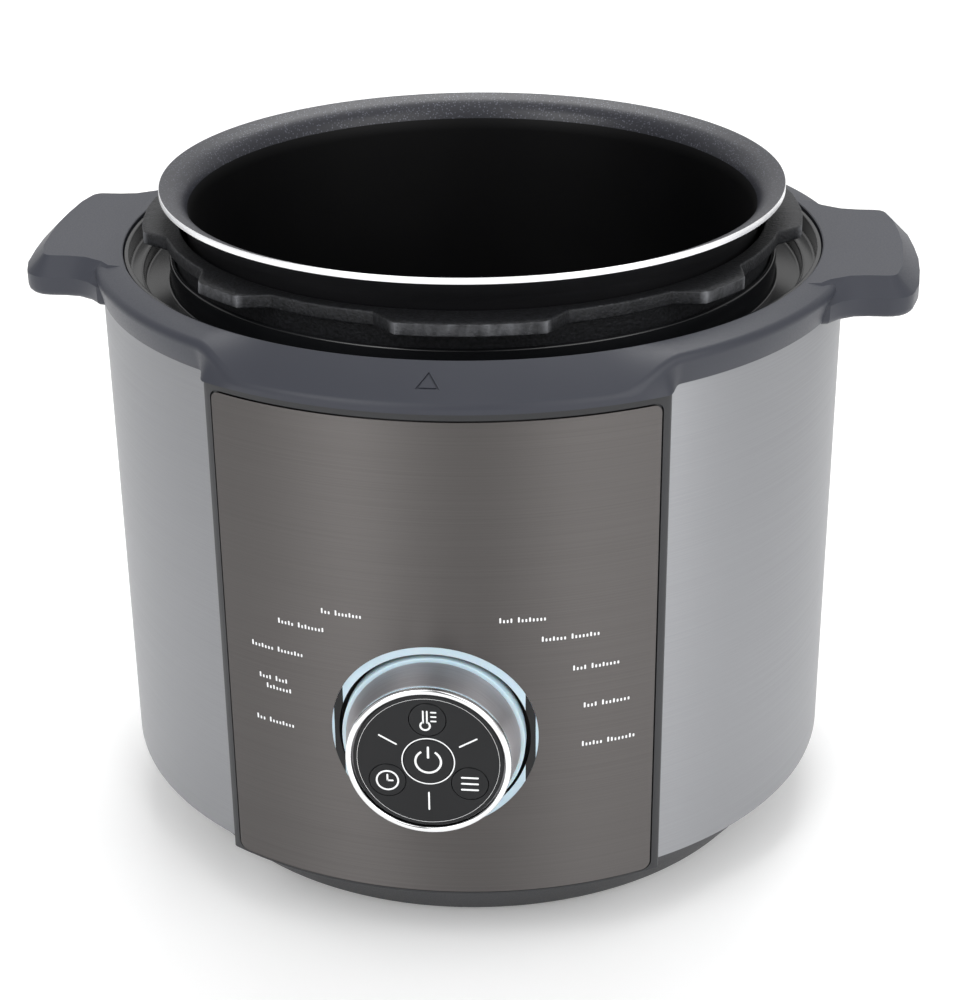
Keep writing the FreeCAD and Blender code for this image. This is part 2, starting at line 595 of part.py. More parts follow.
def inner_pot():
    outer = "PotInner + PotWall"
    flare_start = "PotTop - PotFlare"
    band_bottom = "PotTop - PotRimBand"
    node("inner_pot", lathe("inner_pot_part", [
        ("0", "PotBottom"), (outer + " - PotCorner", "PotBottom"),
        (outer + " - PotCorner * 0.3", "PotBottom + PotCorner * 0.3"), (outer, "PotBottom + PotCorner"),
        (outer, flare_start + " - 4"), (outer + " + 2", flare_start + " + 1"),
        ("PotRimRadius - 1.5", band_bottom + " - 1"), ("PotRimRadius", band_bottom),
        ("PotRimRadius", "PotTop"), ("PotInner + 4.5", "PotTop - 3.4"), ("PotInner + 1.2", "PotTop - 6.8"),
        ("PotInner", flare_start + " - 3"), ("PotInner", "PotBottom + PotCorner"),
        ("PotInner - PotCorner * 0.3", "PotBottom + PotWall + PotCorner * 0.3"),
        ("PotInner - PotCorner", "PotBottom + PotWall"), ("0", "PotBottom + PotWall"),
    ]))


# Control panel: a frame let into the shell's window, and the metal panel in it.

def panel_frame():
    body = wedge_tube("frame_body", "FrameRadius", "FrameInner", "ShellBottom", "FrameTop", "FrameHalfAngle")
    recess = wedge_tube("frame_recess", "FrameRadius + CutPast", "PanelRadius - PanelWall",
                        "PanelBottom - PanelGap", "PanelTop + PanelGap", "PanelHalfAngle + PanelSideGap")
    hole = axle("frame_hole", "LightOuter + LightGap", "PostPlateFront", "DialFront")
    node("panel_frame", cut("panel_frame_part", body, recess, hole))


def control_panel():
    sheet_metal = wedge_tube("panel_sheet", "PanelRadius", "PanelRadius - PanelWall",
                             "PanelBottom", "PanelTop", "PanelHalfAngle")
    hole = axle("panel_hole", "LightOuter + LightGap", "PostPlateFront", "DialFront")
    node("control_panel", cut("control_panel_part", sheet_metal, hole))


def light_ring():
    pipe = tube("light_pipe", "LightOuter", "LightInner", "PostPlateFront + LedBoardWall", "DialFront")
    outline = rod("light_outline", "PanelRadius", "0", "PanelTop")
    node("light_ring", common("light_ring_part", face_forward(pipe), outline))


# Dial: a fixed post with the face and its keys, and the drum that turns round it.

def dial_post():
    plate = rod("post_plate", "PostPlateRadius", "PostPlateBack", "PostPlateFront")
    post = rod("post_stem", "PostRadius", "PostPlateFront", "BoardFront - BoardWall")
    bore = rod("post_bore", "PostBore", "PostPlateBack - CutPast", "BoardFront")
    ears = box("post_ears", ("-EarHalfWidth", "-EarReach", "PostPlateBack"),
               ("EarHalfWidth", "EarReach", "PostPlateFront - PostPlate / 2"))
    bosses = []
    for side, up in (("low", "BossInset - EarReach"), ("high", "EarReach - BossInset")):
        bosses.append(rod("post_boss_" + side, "BossRadius", "PostPlateBack", "FrameInner - LightGap",
                          "0", up))
    blank = fuse("post_blank", plate, post, ears, *bosses)
    node("dial_post", face_forward(cut("dial_post_part", blank, bore)))


def led_board():
    node("led_board", face_forward(tube("led_board_part", "PostPlateRadius - 1", "RotorRadius + LedBoardGap",
                                        "PostPlateFront", "PostPlateFront + LedBoardWall")))


def key_board():
    node("key_board", axle("key_board_part", "KeyBoardRadius", "BoardFront - BoardWall", "BoardFront"))


def key_place(index):
    """The start key is in the middle and three keys stand round it."""
    if index == 0:
        return "0", "0"
    angle = 90 + 120 * (index - 1)
    return "KeyCircle * cos(%d)" % angle, "KeyCircle * sin(%d)" % angle


def key_switches():
    stem_end = "FaceBack - KeyGap - FlangeWall - KeyStem"
    parts = []
    for index in range(4):
        across, up = key_place(index)
        parts.append(box("switch_%d" % index,
                         (across + " - SwitchSide / 2", up + " - SwitchSide / 2", "BoardFront"),
                         (across + " + SwitchSide / 2", up + " + SwitchSide / 2",
                          stem_end + " - KeyTravel - KeyGap")))
    node("key_switches", face_forward(fuse("key_switches_all", *parts)))


def dial_face():
    disc = rod("face_disc", "FaceRadius", "FaceBack", "FaceFront")
    wall = tube("face_wall", "KeyBoardRadius", "KeyBoardRadius - FaceSkirt", "BoardFront", "FaceBack")
    holes = []
    for index in range(4):
        across, up = key_place(index)
        radius = "SideKeyRadius" if index else "StartKeyRadius"
        holes.append(rod("face_hole_%d" % index, radius + " + KeyGap", "FaceBack - CutPast",
                         "FaceFront + CutPast", across, up))
    node("dial_face", face_forward(cut("dial_face_part", fuse("face_blank", disc, wall), *holes)))


def keys():
    names = ("start_key", "pressure_key", "time_key", "preset_key")
    lip_front = "FaceBack - KeyGap"
    lip_back = lip_front + " - FlangeWall"
    for index, name in enumerate(names):
        across, up = key_place(index)
        radius = "SideKeyRadius" if index else "StartKeyRadius"
        cap = rod(name + "_cap", radius, lip_back, "FaceFront + KeyProud", across, up)
        lip = rod(name + "_lip", radius + " + KeyFlange", lip_back, lip_front, across, up)
        stem = rod(name + "_stem", "KeyStemRadius", lip_back + " - KeyStem", lip_front, across, up)
        node(name, face_forward(fuse(name + "_part", cap, lip, stem)))


def dial():
    """The turning group: foot ring, drum with its web and hub, bright rim and encoder rotor."""
    skirt = "DialShoulder - DrumSkin"
    inside = "DialNose - DrumSkin"
    rim_back = "DialFront - RimDepth"
    node("dial_foot_ring", face_forward(tube("dial_foot_part", "DialFoot", skirt,
                                             "DialStart", "PanelRadius")))
    node("dial_drum", face_forward(lathe("dial_drum_part", [
        (skirt, "DialStart + 1"), (skirt, "PanelRadius"), ("DialShoulder", "PanelRadius"),
        ("DialNose", rim_back), ("DrumBore", rim_back), ("DrumBore", "WebFront"),
        ("HubBore", "WebFront"), ("HubBore", "HubBack"), ("HubBore + HubWall", "HubBack"),
        ("HubBore + HubWall", "WebFront - DialWeb"), (inside, "WebFront - DialWeb"),
        (inside, "DialStart + 1"),
    ])))
    node("dial_rim", face_forward(lathe("dial_rim_part", [
        ("RimBore", rim_back), ("DialNose", rim_back), ("DialNose", "DialFront - EdgeBreak"),
        ("DialNose - EdgeBreak", "DialFront"), ("RimBore + 0.4", "DialFront"),
        ("RimBore", "DialFront - 0.4"),
    ])))
    node("encoder_rotor", face_forward(tube("encoder_rotor_part", "RotorRadius", "HubBore",
                                            "HubBack - RotorWall", "HubBack")))


def encoder_body():
    node("encoder_body", face_forward(tube("encoder_body_part", "RotorRadius", "PostRadius",
                                           "PostPlateFront", "HubBack - RotorWall - RotorGap")))


# Electronics: the control board behind the dial and the power board in the base.

def control_board():
    front = "PostPlateBack - BoardSpace"
    board = box("control_board_sheet", ("-BoardHalfWidth", "-(%s)" % front, "DialHeight - BoardHalfHeight"),
                ("BoardHalfWidth", "BoardWall - (%s)" % front, "DialHeight + BoardHalfHeight"))
    spacers = []
    for across in ("-SpacerAcross", "SpacerAcross"):
        for up in ("DialHeight - SpacerUp", "DialHeight + SpacerUp"):
            low = (across + " - SpacerHalfSide", "-PostPlateBack", up + " - SpacerHalfSide")
            high = (across + " + SpacerHalfSide", "-(%s)" % front, up + " + SpacerHalfSide")
            spacers.append(box("board_spacer_%d" % len(spacers), low, high))
    node("control_board", fuse("control_board_all", board, *spacers))


def power_board():
    low = ("PowerBoardX", "PowerBoardY", "PowerBoardZ")
    high = ("PowerBoardX + PowerBoardLength", "PowerBoardY + PowerBoardWidth", "PowerBoardTop")
    node("power_board", box("power_board_part", low, high))
    posts = []
    for along in ("StandoffInset", "PowerBoardLength - StandoffInset"):
        for across in ("StandoffInset", "PowerBoardWidth - StandoffInset"):
            posts.append(rod("standoff_%d" % len(posts), "StandoffRadius", "FlangeHeight", "PowerBoardZ",
                             "PowerBoardX + " + along, "PowerBoardY + " + across))
    node("board_standoffs", fuse("board_standoffs_all", *posts))


def on_board(label, offset, size):
    """A component standing on the power board at an offset from its corner."""
    low = ("PowerBoardX + %g" % offset[0], "PowerBoardY + %g" % offset[1], "PowerBoardTop")
    high = tuple("%s + %g" % pair for pair in zip(low, size))
    return box(label, low, high)


def board_components():
    node("transformer", on_board("transformer_part", (10, 12), (30, 26, 24)))
    node("relay", on_board("relay_part", (50, 12), (19, 15, 16)))
    cans = []
    for index, radius in enumerate((6, 5, 4)):
        cans.append(rod("capacitor_%d" % index, str(radius), "PowerBoardTop",
                        "PowerBoardTop + %d" % (8 + 2 * radius),
                        "PowerBoardX + %d" % (20 + 16 * index), "PowerBoardY + 50"))
    node("capacitors", fuse("capacitors_all", *cans))


def pressure_switch():
    """The switch that trips when the outer pot's floor bows down."""
    top = "OuterPotFloor"
    body = box("switch_body", ("-10", "54", top + " - 20"), ("10", "64", top + " - 8"))
    bracket = box("switch_bracket", ("-6", "64", top + " - 20"), ("6", "65.5", top))
    plunger = rod("switch_plunger", "2", top + " - 8", top + " - 1", "0", "59")
    node("pressure_switch", fuse("pressure_switch_all", body, bracket, plunger))


def thermal_fuse():
    top = "OuterPotFloor"
    fuse_body = box("fuse_body", ("50", "-30", top + " - 5"), ("74", "-24", top))
    node("thermal_fuse", fuse_body)


# Rear: the mains inlet, the cup holder and the cup that slides on to it.

def power_inlet():
    low_z = "InletHeight - InletHalfHeight"
    high_z = "InletHeight + InletHalfHeight"
    body = box("inlet_body", ("-InletHalfWidth - InletWall", "InletFace - InletDepth - InletWall * 2",
                              low_z + " - InletWall"),
               ("InletHalfWidth + InletWall", "InletFace", high_z + " + InletWall"))
    flange = box("inlet_flange", ("-InletHalfWidth - InletFlange", "ShellRadius",
                                  low_z + " - InletFlange"),
                 ("InletHalfWidth + InletFlange", "InletFace", high_z + " + InletFlange"))
    socket = box("inlet_socket", ("-InletHalfWidth", "InletFace - InletDepth", low_z),
                 ("InletHalfWidth", "InletFace + CutPast", high_z))
    node("power_inlet", cut("power_inlet_part", fuse("inlet_blank", body, flange), socket))


def inlet_pins():
    start = "InletFace - InletDepth"
    live = "InletHeight - PinDrop"
    pins = []
    for across, up in (("-PinSpacing", live), ("PinSpacing", live), ("0", live + " + EarthOffset")):
        pins.append(box("inlet_pin_%d" % len(pins),
                        (across + " - PinThickness / 2", start, up + " - PinWidth / 2"),
                        (across + " + PinThickness / 2", start + " + PinLength", up + " + PinWidth / 2")))
    node("inlet_pins", fuse("inlet_pins_all", *pins))


def cup_holder():
    """A plate on the shell with two rails. The cup's ribs rest on the rails."""
    front = "CupBack - SlideGap"
    half_width = "(CupHalfWidth + RibWidth + HolderMargin)"
    parts = [box("holder_plate", ("-" + half_width, front + " - HolderWall", "RailTop - HolderDrop"),
                 (half_width, front, "SpoutBottom - CutPast"))]
    for side, sign in (("left", -1), ("right", 1)):
        rail = ["%d * %s" % (sign, edge) for edge in ("(CupHalfWidth + SlideGap)", half_width)]
        low_x, high_x = rail[::sign]
        parts.append(box("holder_rail_" + side, (low_x, front, "RailTop - RailHeight"),
                         (high_x, "RailEnd", "RailTop")))
        centre = "%d * HolderLugs" % sign
        parts.append(box("holder_lug_" + side,
                         (centre + " - HolderLugHalfWidth", "ShellRadius - 3 * HolderWall",
                          "RailTop - HolderLugHeight"),
                         (centre + " + HolderLugHalfWidth", front + " - HolderWall / 2", "RailTop")))
    shell_space = rod("holder_shell_space", "ShellRadius", "ShellBottom", "ShellTop")
    node("cup_holder", cut("cup_holder_part", fuse("holder_blank", *parts), shell_space))


def condensate_cup():
    block = box("cup_block", ("-CupHalfWidth", "CupBack", "CupBottom"),
                ("CupHalfWidth", "CupFront", "CupTop"))
    hollow = box("cup_hollow", ("CupWall - CupHalfWidth", "CupBack + CupWall", "CupBottom + CupWall"),
                 ("CupHalfWidth - CupWall", "CupFront - CupWall", "CupTop + CutPast"))
    rib_low = "CupTop - RibDrop"
    rib_high = rib_low + " + RibHeight"
    left = box("cup_rib_left", ("-CupHalfWidth - RibWidth", "CupBack", rib_low),
               ("-CupHalfWidth", "RailEnd", rib_high))
    right = box("cup_rib_right", ("CupHalfWidth", "CupBack", rib_low),
                ("CupHalfWidth + RibWidth", "RailEnd", rib_high))
    node("condensate_cup", cut("condensate_cup_part", fuse("cup_blank", block, left, right), hollow))


def write_parts():
    os.makedirs("parts", exist_ok=True)
    doc.recompute()
    for item in doc.Objects:
        if "Invalid" in item.State or "Error" in item.State:
            raise RuntimeError("%s failed: %s" % (item.Label, item.State))
    for name, item in nodes.items():
        if item.Shape.isNull() or not item.Shape.isValid():
            raise RuntimeError(name + " has no valid shape")
        item.Shape.exportStep("parts/%s.step" % name)
        print("%-20s %d solid(s) %10.0f mm3" % (name, len(item.Shape.Solids), item.Shape.Volume))


fill_sheet()
for build_piece in (
    base_housing, base_plate, rubber_feet, base_screws, outer_shell, top_collar, condensation_ring,
    drain_spout, outer_pot, heat_shield, pot_supports, heater_plate, heating_element, heater_terminals,
    heater_springs, sensor_cap, sensor_seat, sensor_spring, inner_pot, panel_frame, control_panel,
    light_ring, dial_post, led_board, key_board, key_switches, dial_face, keys, dial, encoder_body,
    control_board, power_board, board_components, pressure_switch, thermal_fuse, power_inlet, inlet_pins,
    cup_holder, condensate_cup,
):
    build_piece()
write_parts()
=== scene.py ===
import json
import math

import bmesh
import bpy
from mathutils import Matrix, Vector, noise

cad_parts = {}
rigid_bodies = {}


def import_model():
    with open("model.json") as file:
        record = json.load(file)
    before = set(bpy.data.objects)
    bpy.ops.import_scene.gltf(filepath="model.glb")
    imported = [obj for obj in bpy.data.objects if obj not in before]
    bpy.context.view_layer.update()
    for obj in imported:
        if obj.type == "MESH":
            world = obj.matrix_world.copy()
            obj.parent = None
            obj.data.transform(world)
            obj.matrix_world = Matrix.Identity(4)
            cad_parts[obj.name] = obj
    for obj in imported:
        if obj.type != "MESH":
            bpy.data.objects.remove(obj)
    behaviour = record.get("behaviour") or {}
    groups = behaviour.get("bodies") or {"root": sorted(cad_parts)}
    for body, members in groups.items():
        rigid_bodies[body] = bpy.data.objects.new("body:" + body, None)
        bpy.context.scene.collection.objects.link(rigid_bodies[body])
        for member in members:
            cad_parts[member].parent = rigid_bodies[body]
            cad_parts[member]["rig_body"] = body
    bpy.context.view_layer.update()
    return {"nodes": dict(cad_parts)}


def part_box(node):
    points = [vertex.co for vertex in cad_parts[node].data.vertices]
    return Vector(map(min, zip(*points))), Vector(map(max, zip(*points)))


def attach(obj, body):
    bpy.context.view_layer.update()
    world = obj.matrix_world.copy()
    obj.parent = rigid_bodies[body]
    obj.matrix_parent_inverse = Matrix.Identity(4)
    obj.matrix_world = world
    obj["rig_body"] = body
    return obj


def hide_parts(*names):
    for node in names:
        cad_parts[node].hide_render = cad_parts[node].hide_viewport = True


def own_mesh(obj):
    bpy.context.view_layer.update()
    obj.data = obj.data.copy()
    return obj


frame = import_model()


# Outer shell. A stainless sheet 0.8 mm thick, rolled into a cylinder that is open at the front,
# with its top and bottom edges hemmed. Its satin finish is brushed round the body.

def box_of(node):
    """The low and high corners of a CAD node's box, in millimetres."""
    return [[length * 1000 for length in corner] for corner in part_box(node)]


def linear(hex_code):
    """The linear colour of an sRGB hex value."""
    channels = [int(hex_code[start:start + 2], 16) / 255 for start in (1, 3, 5)]
    return [c / 12.92 if c <= 0.04045 else ((c + 0.055) / 1.055) ** 2.4 for c in channels] + [1.0]


def add(tree, kind, settings=None, inputs=None):
    """Adds a node with its settings. An input is a value or another node's output."""
    item = tree.nodes.new(kind)
    for name, setting in (settings or {}).items():
        setattr(item, name, setting)
    for name, source in (inputs or {}).items():
        if isinstance(source, bpy.types.NodeSocket):
            tree.links.new(source, item.inputs[name])
        else:
            item.inputs[name].default_value = source
    return item


def surface(name, **inputs):
    """A material with a Principled shader. Underscores in an input's name stand for spaces."""
    material = bpy.data.materials.new(name)
    material.use_nodes = True
    tree = material.node_tree
    tree.nodes.clear()
    shader = add(tree, "ShaderNodeBsdfPrincipled")
    for label, setting in inputs.items():
        shader.inputs[label.replace("_", " ")].default_value = setting
    add(tree, "ShaderNodeOutputMaterial", inputs={"Surface": shader.outputs[0]})
    return material, tree, shader


def grain(tree, scale, stretch=(1, 1, 1), detail=3.0):
    """Noise on the object's own metres, stretched by a mapping."""
    place = add(tree, "ShaderNodeTexCoord")
    mapping = add(tree, "ShaderNodeMapping", inputs={"Vector": place.outputs["Object"], "Scale": stretch})
    return add(tree, "ShaderNodeTexNoise", inputs={"Vector": mapping.outputs[0], "Scale": scale,
                                                   "Detail": detail}).outputs["Fac"]


def spread(tree, source, low, high):
    """Maps noise to a range of values."""
    return add(tree, "ShaderNodeMapRange", inputs={"Value": source, "From Min": 0.3, "From Max": 0.7,
                                                   "To Min": low, "To Max": high}).outputs[0]


def tones(tree, shader, source, dark, light, low=0.35, high=0.65):
    """Colour that runs from one tone to another with a noise."""
    ramp = add(tree, "ShaderNodeValToRGB", inputs={"Fac": source})
    ramp.color_ramp.elements[0].position = low
    ramp.color_ramp.elements[0].color = linear(dark)
    ramp.color_ramp.elements[1].position = high
    ramp.color_ramp.elements[1].color = linear(light)
    tree.links.new(ramp.outputs["Color"], shader.inputs["Base Color"])


def relief(tree, shader, source, strength, distance):
    bump = add(tree, "ShaderNodeBump", inputs={"Height": source, "Strength": strength, "Distance": distance})
    tree.links.new(bump.outputs[0], shader.inputs["Normal"])


def outline_of(bm, corners):
    """A closed outline of (radius, height, rounding) in the xz plane, as loose edges."""
    verts = [bm.verts.new((corner[0], 0, corner[1])) for corner in corners]
    bm.faces.new(verts)
    for vert, corner in zip(verts, corners):
        if len(corner) > 2:
            bmesh.ops.bevel(bm, geom=[vert], offset=corner[2], offset_type="OFFSET", segments=5,
                            profile=0.5, affect="VERTICES", material=-1)
    bmesh.ops.delete(bm, geom=list(bm.faces), context="FACES_ONLY")


def turned(corners, steps=256, sweep=360.0, centre=-90.0):
    """Spins an outline about z, all round or by a sweep to both sides of a bearing."""
    bm = bmesh.new()
    outline_of(bm, corners)
    on_axis = [edge for edge in bm.edges if all(abs(vert.co.x) < 1e-6 for vert in edge.verts)]
    bmesh.ops.delete(bm, geom=on_axis, context="EDGES_FACES")
    start = Matrix.Rotation(math.radians(centre - sweep / 2), 4, "Z")
    bmesh.ops.transform(bm, matrix=start, verts=bm.verts)
    whole = sweep == 360.0
    bmesh.ops.spin(bm, geom=list(bm.verts) + list(bm.edges), axis=(0, 0, 1), cent=(0, 0, 0),
                   angle=math.radians(sweep), steps=steps, use_merge=whole)
    bmesh.ops.remove_doubles(bm, verts=bm.verts, dist=1e-4)
    if not whole:
        bmesh.ops.holes_fill(bm, edges=[edge for edge in bm.edges if edge.is_boundary], sides=0)
    bmesh.ops.recalc_face_normals(bm, faces=bm.faces)
    return bm


def piece(name, bm, materials, body, *nodes, sharp=32):
    """Makes a mesh in millimetres into a piece that rides on a body and stands for CAD nodes."""
    bmesh.ops.transform(bm, matrix=Matrix.Scale(0.001, 4), verts=bm.verts)
    mesh = bpy.data.meshes.new(name)
    bm.to_mesh(mesh)
    bm.free()
    for polygon in mesh.polygons:
        polygon.use_smooth = True
    mesh.set_sharp_from_angle(angle=math.radians(sharp))
    for material in materials if isinstance(materials, list) else [materials]:
        mesh.materials.append(material)
    item = bpy.data.objects.new(name, mesh)
    bpy.context.scene.collection.objects.link(item)
    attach(item, body)
    if nodes:
        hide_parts(*nodes)
    return item


def soften(item, width, segments=3, angle=32):
    """Rounds a piece's sharp edges by a width in millimetres."""
    bevel = item.modifiers.new("edges", "BEVEL")
    bevel.width = width / 1000
    bevel.segments = segments
    bevel.limit_method = "ANGLE"
    bevel.angle_limit = math.radians(angle)
    bevel.harden_normals = True
    return item


def combine(base, other, operation="DIFFERENCE"):
    """Joins or cuts one mesh with another. Both are used up."""
    holders = []
    for part in (base, other):
        mesh = bpy.data.meshes.new("work")
        part.to_mesh(mesh)
        part.free()
        holders.append(bpy.data.objects.new("work", mesh))
        bpy.context.scene.collection.objects.link(holders[-1])
    boolean = holders[0].modifiers.new("boolean", "BOOLEAN")
    boolean.operation = operation
    boolean.solver = "EXACT"
    boolean.object = holders[1]
    result = bmesh.new()
    result.from_object(holders[0], bpy.context.evaluated_depsgraph_get())
    for holder in holders:
        mesh = holder.data
        bpy.data.objects.remove(holder)
        bpy.data.meshes.remove(mesh)
    return result


def block(low, high):
    """A box between two corners, for cutting."""
    bm = bmesh.new()
    bmesh.ops.create_cube(bm, size=1)
    size = Vector(high) - Vector(low)
    centre = (Vector(high) + Vector(low)) / 2
    bmesh.ops.scale(bm, vec=size, verts=bm.verts)
    bmesh.ops.translate(bm, vec=centre, verts=bm.verts)
    return bm


def brushed(name, dark, light, roughness, stretch, tangent_axis="Z"):
    """A metal brushed along one way. Its highlights spread across the lines, by anisotropy."""
    material, tree, shader = surface(name, Metallic=1.0, Roughness=roughness, Anisotropic=0.85,
                                     Anisotropic_Rotation=0.25)
    along = add(tree, "ShaderNodeTangent", {"direction_type": "RADIAL", "axis": tangent_axis})
    tree.links.new(along.outputs[0], shader.inputs["Tangent"])
    lines = grain(tree, 1.0, stretch, 2.0)
    tones(tree, shader, lines, dark, light)
    relief(tree, shader, lines, 0.03, 0.00004)
    return material


# Satin stainless: lines round the body about 0.3 mm apart, so a highlight spreads up and down.
satin_steel = brushed("brushed_stainless", "#9d9ea1", "#a2a3a6", 0.46, (9, 9, 3400))

shell_low, shell_high = box_of("outer_shell")
shell_radius = shell_high[0]
sheet = 0.8
window_half_angle = 34.0
shell = turned([
    (shell_radius - sheet, shell_low[2]), (shell_radius, shell_low[2], 0.3),
    (shell_radius, shell_high[2], 0.3), (shell_radius - sheet, shell_high[2]),
], steps=300, sweep=360 - 2 * window_half_angle, centre=90)
inlet_low, inlet_high = box_of("power_inlet")
spout_low, spout_high = box_of("drain_spout")
inlet_lip, spout_gap = 3, 0.2
hole_start, hole_end = 120, 160
shell = combine(shell, block((inlet_low[0] + inlet_lip, hole_start, inlet_low[2] + inlet_lip),
                             (inlet_high[0] - inlet_lip, hole_end, inlet_high[2] - inlet_lip)))
shell = combine(shell, block((spout_low[0] - spout_gap, hole_start, spout_low[2] - spout_gap),
                             (spout_high[0] + spout_gap, hole_end, spout_high[2])))
piece("shell_wrap", shell, satin_steel, "cooker_body", "outer_shell")


# Base. A tapering bowl moulded in dark ABS, with a thin shadow gap under the shell. It is open
# below, where the bottom plate lies inside its rim.

def moulded(name, dark, light, patches, pores, roughness, depth):
    """Moulded plastic, a little uneven in tone. Its fine pores vary its roughness from low to high."""
    material, tree, shader = surface(name, IOR=1.5, Specular_IOR_Level=0.35)
    texture = grain(tree, pores, detail=2.0)
    tones(tree, shader, grain(tree, patches), dark, light)
    tree.links.new(spread(tree, texture, *roughness), shader.inputs["Roughness"])
    relief(tree, shader, texture, depth, 0.00006)
    return material


moulded_dark = moulded("moulded_dark_abs", "#1d1e21", "#212226", 14, 1800, (0.42, 0.52), 0.12)

base_low, base_high = box_of("base_housing")
plate_top = box_of("base_plate")[1][2]
seam = shell_low[2] - 0.5
spigot = shell_radius - sheet - 0.05
wall_inside, plate_radius, ledge_radius = 143.2, 121.5, 108
base = turned([
    (plate_radius, base_low[2]), (124, base_low[2], 1.2), (144.5, seam, 1.0), (143.6, seam + 0.45),
    (spigot, seam + 0.5), (spigot, base_high[2]), (wall_inside, base_high[2]), (wall_inside, seam),
    (125, plate_top + 2.5), (ledge_radius, plate_top + 2.5), (ledge_radius, plate_top),
    (plate_radius, plate_top),
])
piece("base_bowl", base, moulded_dark, "cooker_body", "base_housing")


# Collar. One moulding in grey ABS: a ring with a rounded crease, a deeper lobe over the
# panel with an engraved triangle, and two side handles with chamfered edges.

moulded_grey = moulded("moulded_grey_abs", "#31333b", "#35373f", 12, 1500, (0.38, 0.47), 0.10)

collar_low, collar_high = box_of("top_collar")
collar_top = collar_high[2]
collar_foot = shell_high[2]
lobe_radius = -collar_low[1]
handle_reach = collar_high[0]
lobe_half_angle = 33.5
collar_bore = 138
lobe_lip = 3.2

ring_outline = [(collar_bore, collar_foot), (147.3, collar_foot), (150.0, collar_top - 2.3, 3.2),
                (collar_bore, collar_top, 0.7)]
lobe_outline = [(collar_bore, collar_foot), (lobe_radius, collar_foot),
                (lobe_radius, collar_foot + lobe_lip, 1.6), (collar_bore, collar_top, 0.7)]


def outline_places(corners):
    """The points of an outline once its corners are rounded."""
    bm = bmesh.new()
    outline_of(bm, corners)
    places = [vert.co.copy() for vert in bm.verts]
    bm.free()
    return places


def lobe_share(bearing, width):
    """How far the collar has become the lobe at a bearing, changing over a width in degrees."""
    share = min(1.0, max(0.0, (lobe_half_angle + 1.8 - abs(bearing)) / width))
    return share * share * (3 - 2 * share)


pairs = list(zip(outline_places(ring_outline), outline_places(lobe_outline)))
collar = turned(ring_outline, steps=720)
for vert in collar.verts:
    radius = math.hypot(vert.co.x, vert.co.y)
    ring_place, lobe_place = min(
        pairs, key=lambda pair: abs(pair[0].x - radius) + abs(pair[0].z - vert.co.z))
    bearing = math.degrees(math.atan2(vert.co.x, -vert.co.y))
    share = lobe_share(bearing, 3.6 + 0.65 * (ring_place.z - collar_foot))
    scale = (ring_place.x + (lobe_place.x - ring_place.x) * share) / radius
    height = ring_place.z + (lobe_place.z - ring_place.z) * share
    vert.co = Vector((vert.co.x * scale, vert.co.y * scale, height))


def handle_slab(side):
    """A slab with a bowed end and flared roots, chamfered round its top and eased below."""
    half = 46.9
    bow = 4.0
    corner = 11.0
    thickness = 15.0
    chamfer, ease = 6.8, 2.6
    corner_x, corner_y = handle_reach - bow - corner, half - corner
    plan = [(118, 60), (139, 56), (143.5, 50.8), (149, 47.6), (154, half), (corner_x, half)]
    for step in range(1, 6):
        turn = math.radians(90 - 15 * step)
        plan.append((corner_x + corner * math.cos(turn), corner_y + corner * math.sin(turn)))
    plan += [(handle_reach - bow * 0.5, half - corner * 1.6), (handle_reach - 0.6, 14), (handle_reach, 0)]
    mirrored = [(x, -y) for x, y in reversed(plan[:-1])]
    bm = bmesh.new()
    verts = [bm.verts.new((x, y, collar_top - thickness)) for x, y in plan + mirrored]
    face = bm.faces.new(verts)
    raised = bmesh.ops.extrude_face_region(bm, geom=[face])["geom"]
    tops = [item for item in raised if isinstance(item, bmesh.types.BMVert)]
    bmesh.ops.translate(bm, vec=(0, 0, thickness - 0.35), verts=tops)
    bmesh.ops.recalc_face_normals(bm, faces=bm.faces)
    rim = [edge for edge in bm.edges if all(v.co.z > collar_top - 1 for v in edge.verts)]
    bmesh.ops.bevel(bm, geom=rim, offset=chamfer, offset_type="OFFSET", segments=1, profile=0.5,
                    affect="EDGES", clamp_overlap=True, material=-1)
    lower = [edge for edge in bm.edges if all(v.co.z < collar_top - thickness + 0.1 for v in edge.verts)]
    bmesh.ops.bevel(bm, geom=lower, offset=ease, offset_type="OFFSET", segments=3, profile=0.5,
                    affect="EDGES", clamp_overlap=True, material=-1)
    if side < 0:
        bmesh.ops.rotate(bm, cent=(0, 0, 0), matrix=Matrix.Rotation(math.pi, 3, "Z"), verts=bm.verts)
    return bm


collar = combine(collar, handle_slab(1), "UNION")
collar = combine(collar, handle_slab(-1), "UNION")
bore_cut = collar_bore - 0.05
collar = combine(collar, turned([(0, 180), (bore_cut, 180), (bore_cut, 300), (0, 300)]))
shell_cut = shell_radius + 0.3
collar = combine(collar, turned([(0, 180), (shell_cut, 180), (shell_cut, collar_foot), (0, collar_foot)]))

slope = math.atan2(collar_top - collar_foot - lobe_lip, lobe_radius - collar_bore)
mark = bmesh.new()
bmesh.ops.create_cone(mark, cap_ends=True, segments=3, radius1=4.8, radius2=4.8, depth=1.0)
inside_mark = bmesh.new()
bmesh.ops.create_cone(inside_mark, cap_ends=True, segments=3, radius1=3.5, radius2=3.5, depth=2.0)
mark = combine(mark, inside_mark)
bmesh.ops.rotate(mark, cent=(0, 0, 0), matrix=Matrix.Rotation(slope, 3, "X"), verts=mark.verts)
mark_radius = 146.6
mark_height = collar_top - (mark_radius - collar_bore) * math.tan(slope)
bmesh.ops.translate(mark, vec=(0, -mark_radius, mark_height), verts=mark.verts)
collar = combine(collar, mark)
soften(piece("collar", collar, moulded_grey, "cooker_body", "top_collar"), 0.6, 2)


# Condensation ring. A glossy black moulding inside the collar, with a stepped gutter that
# catches the water running off a lid.

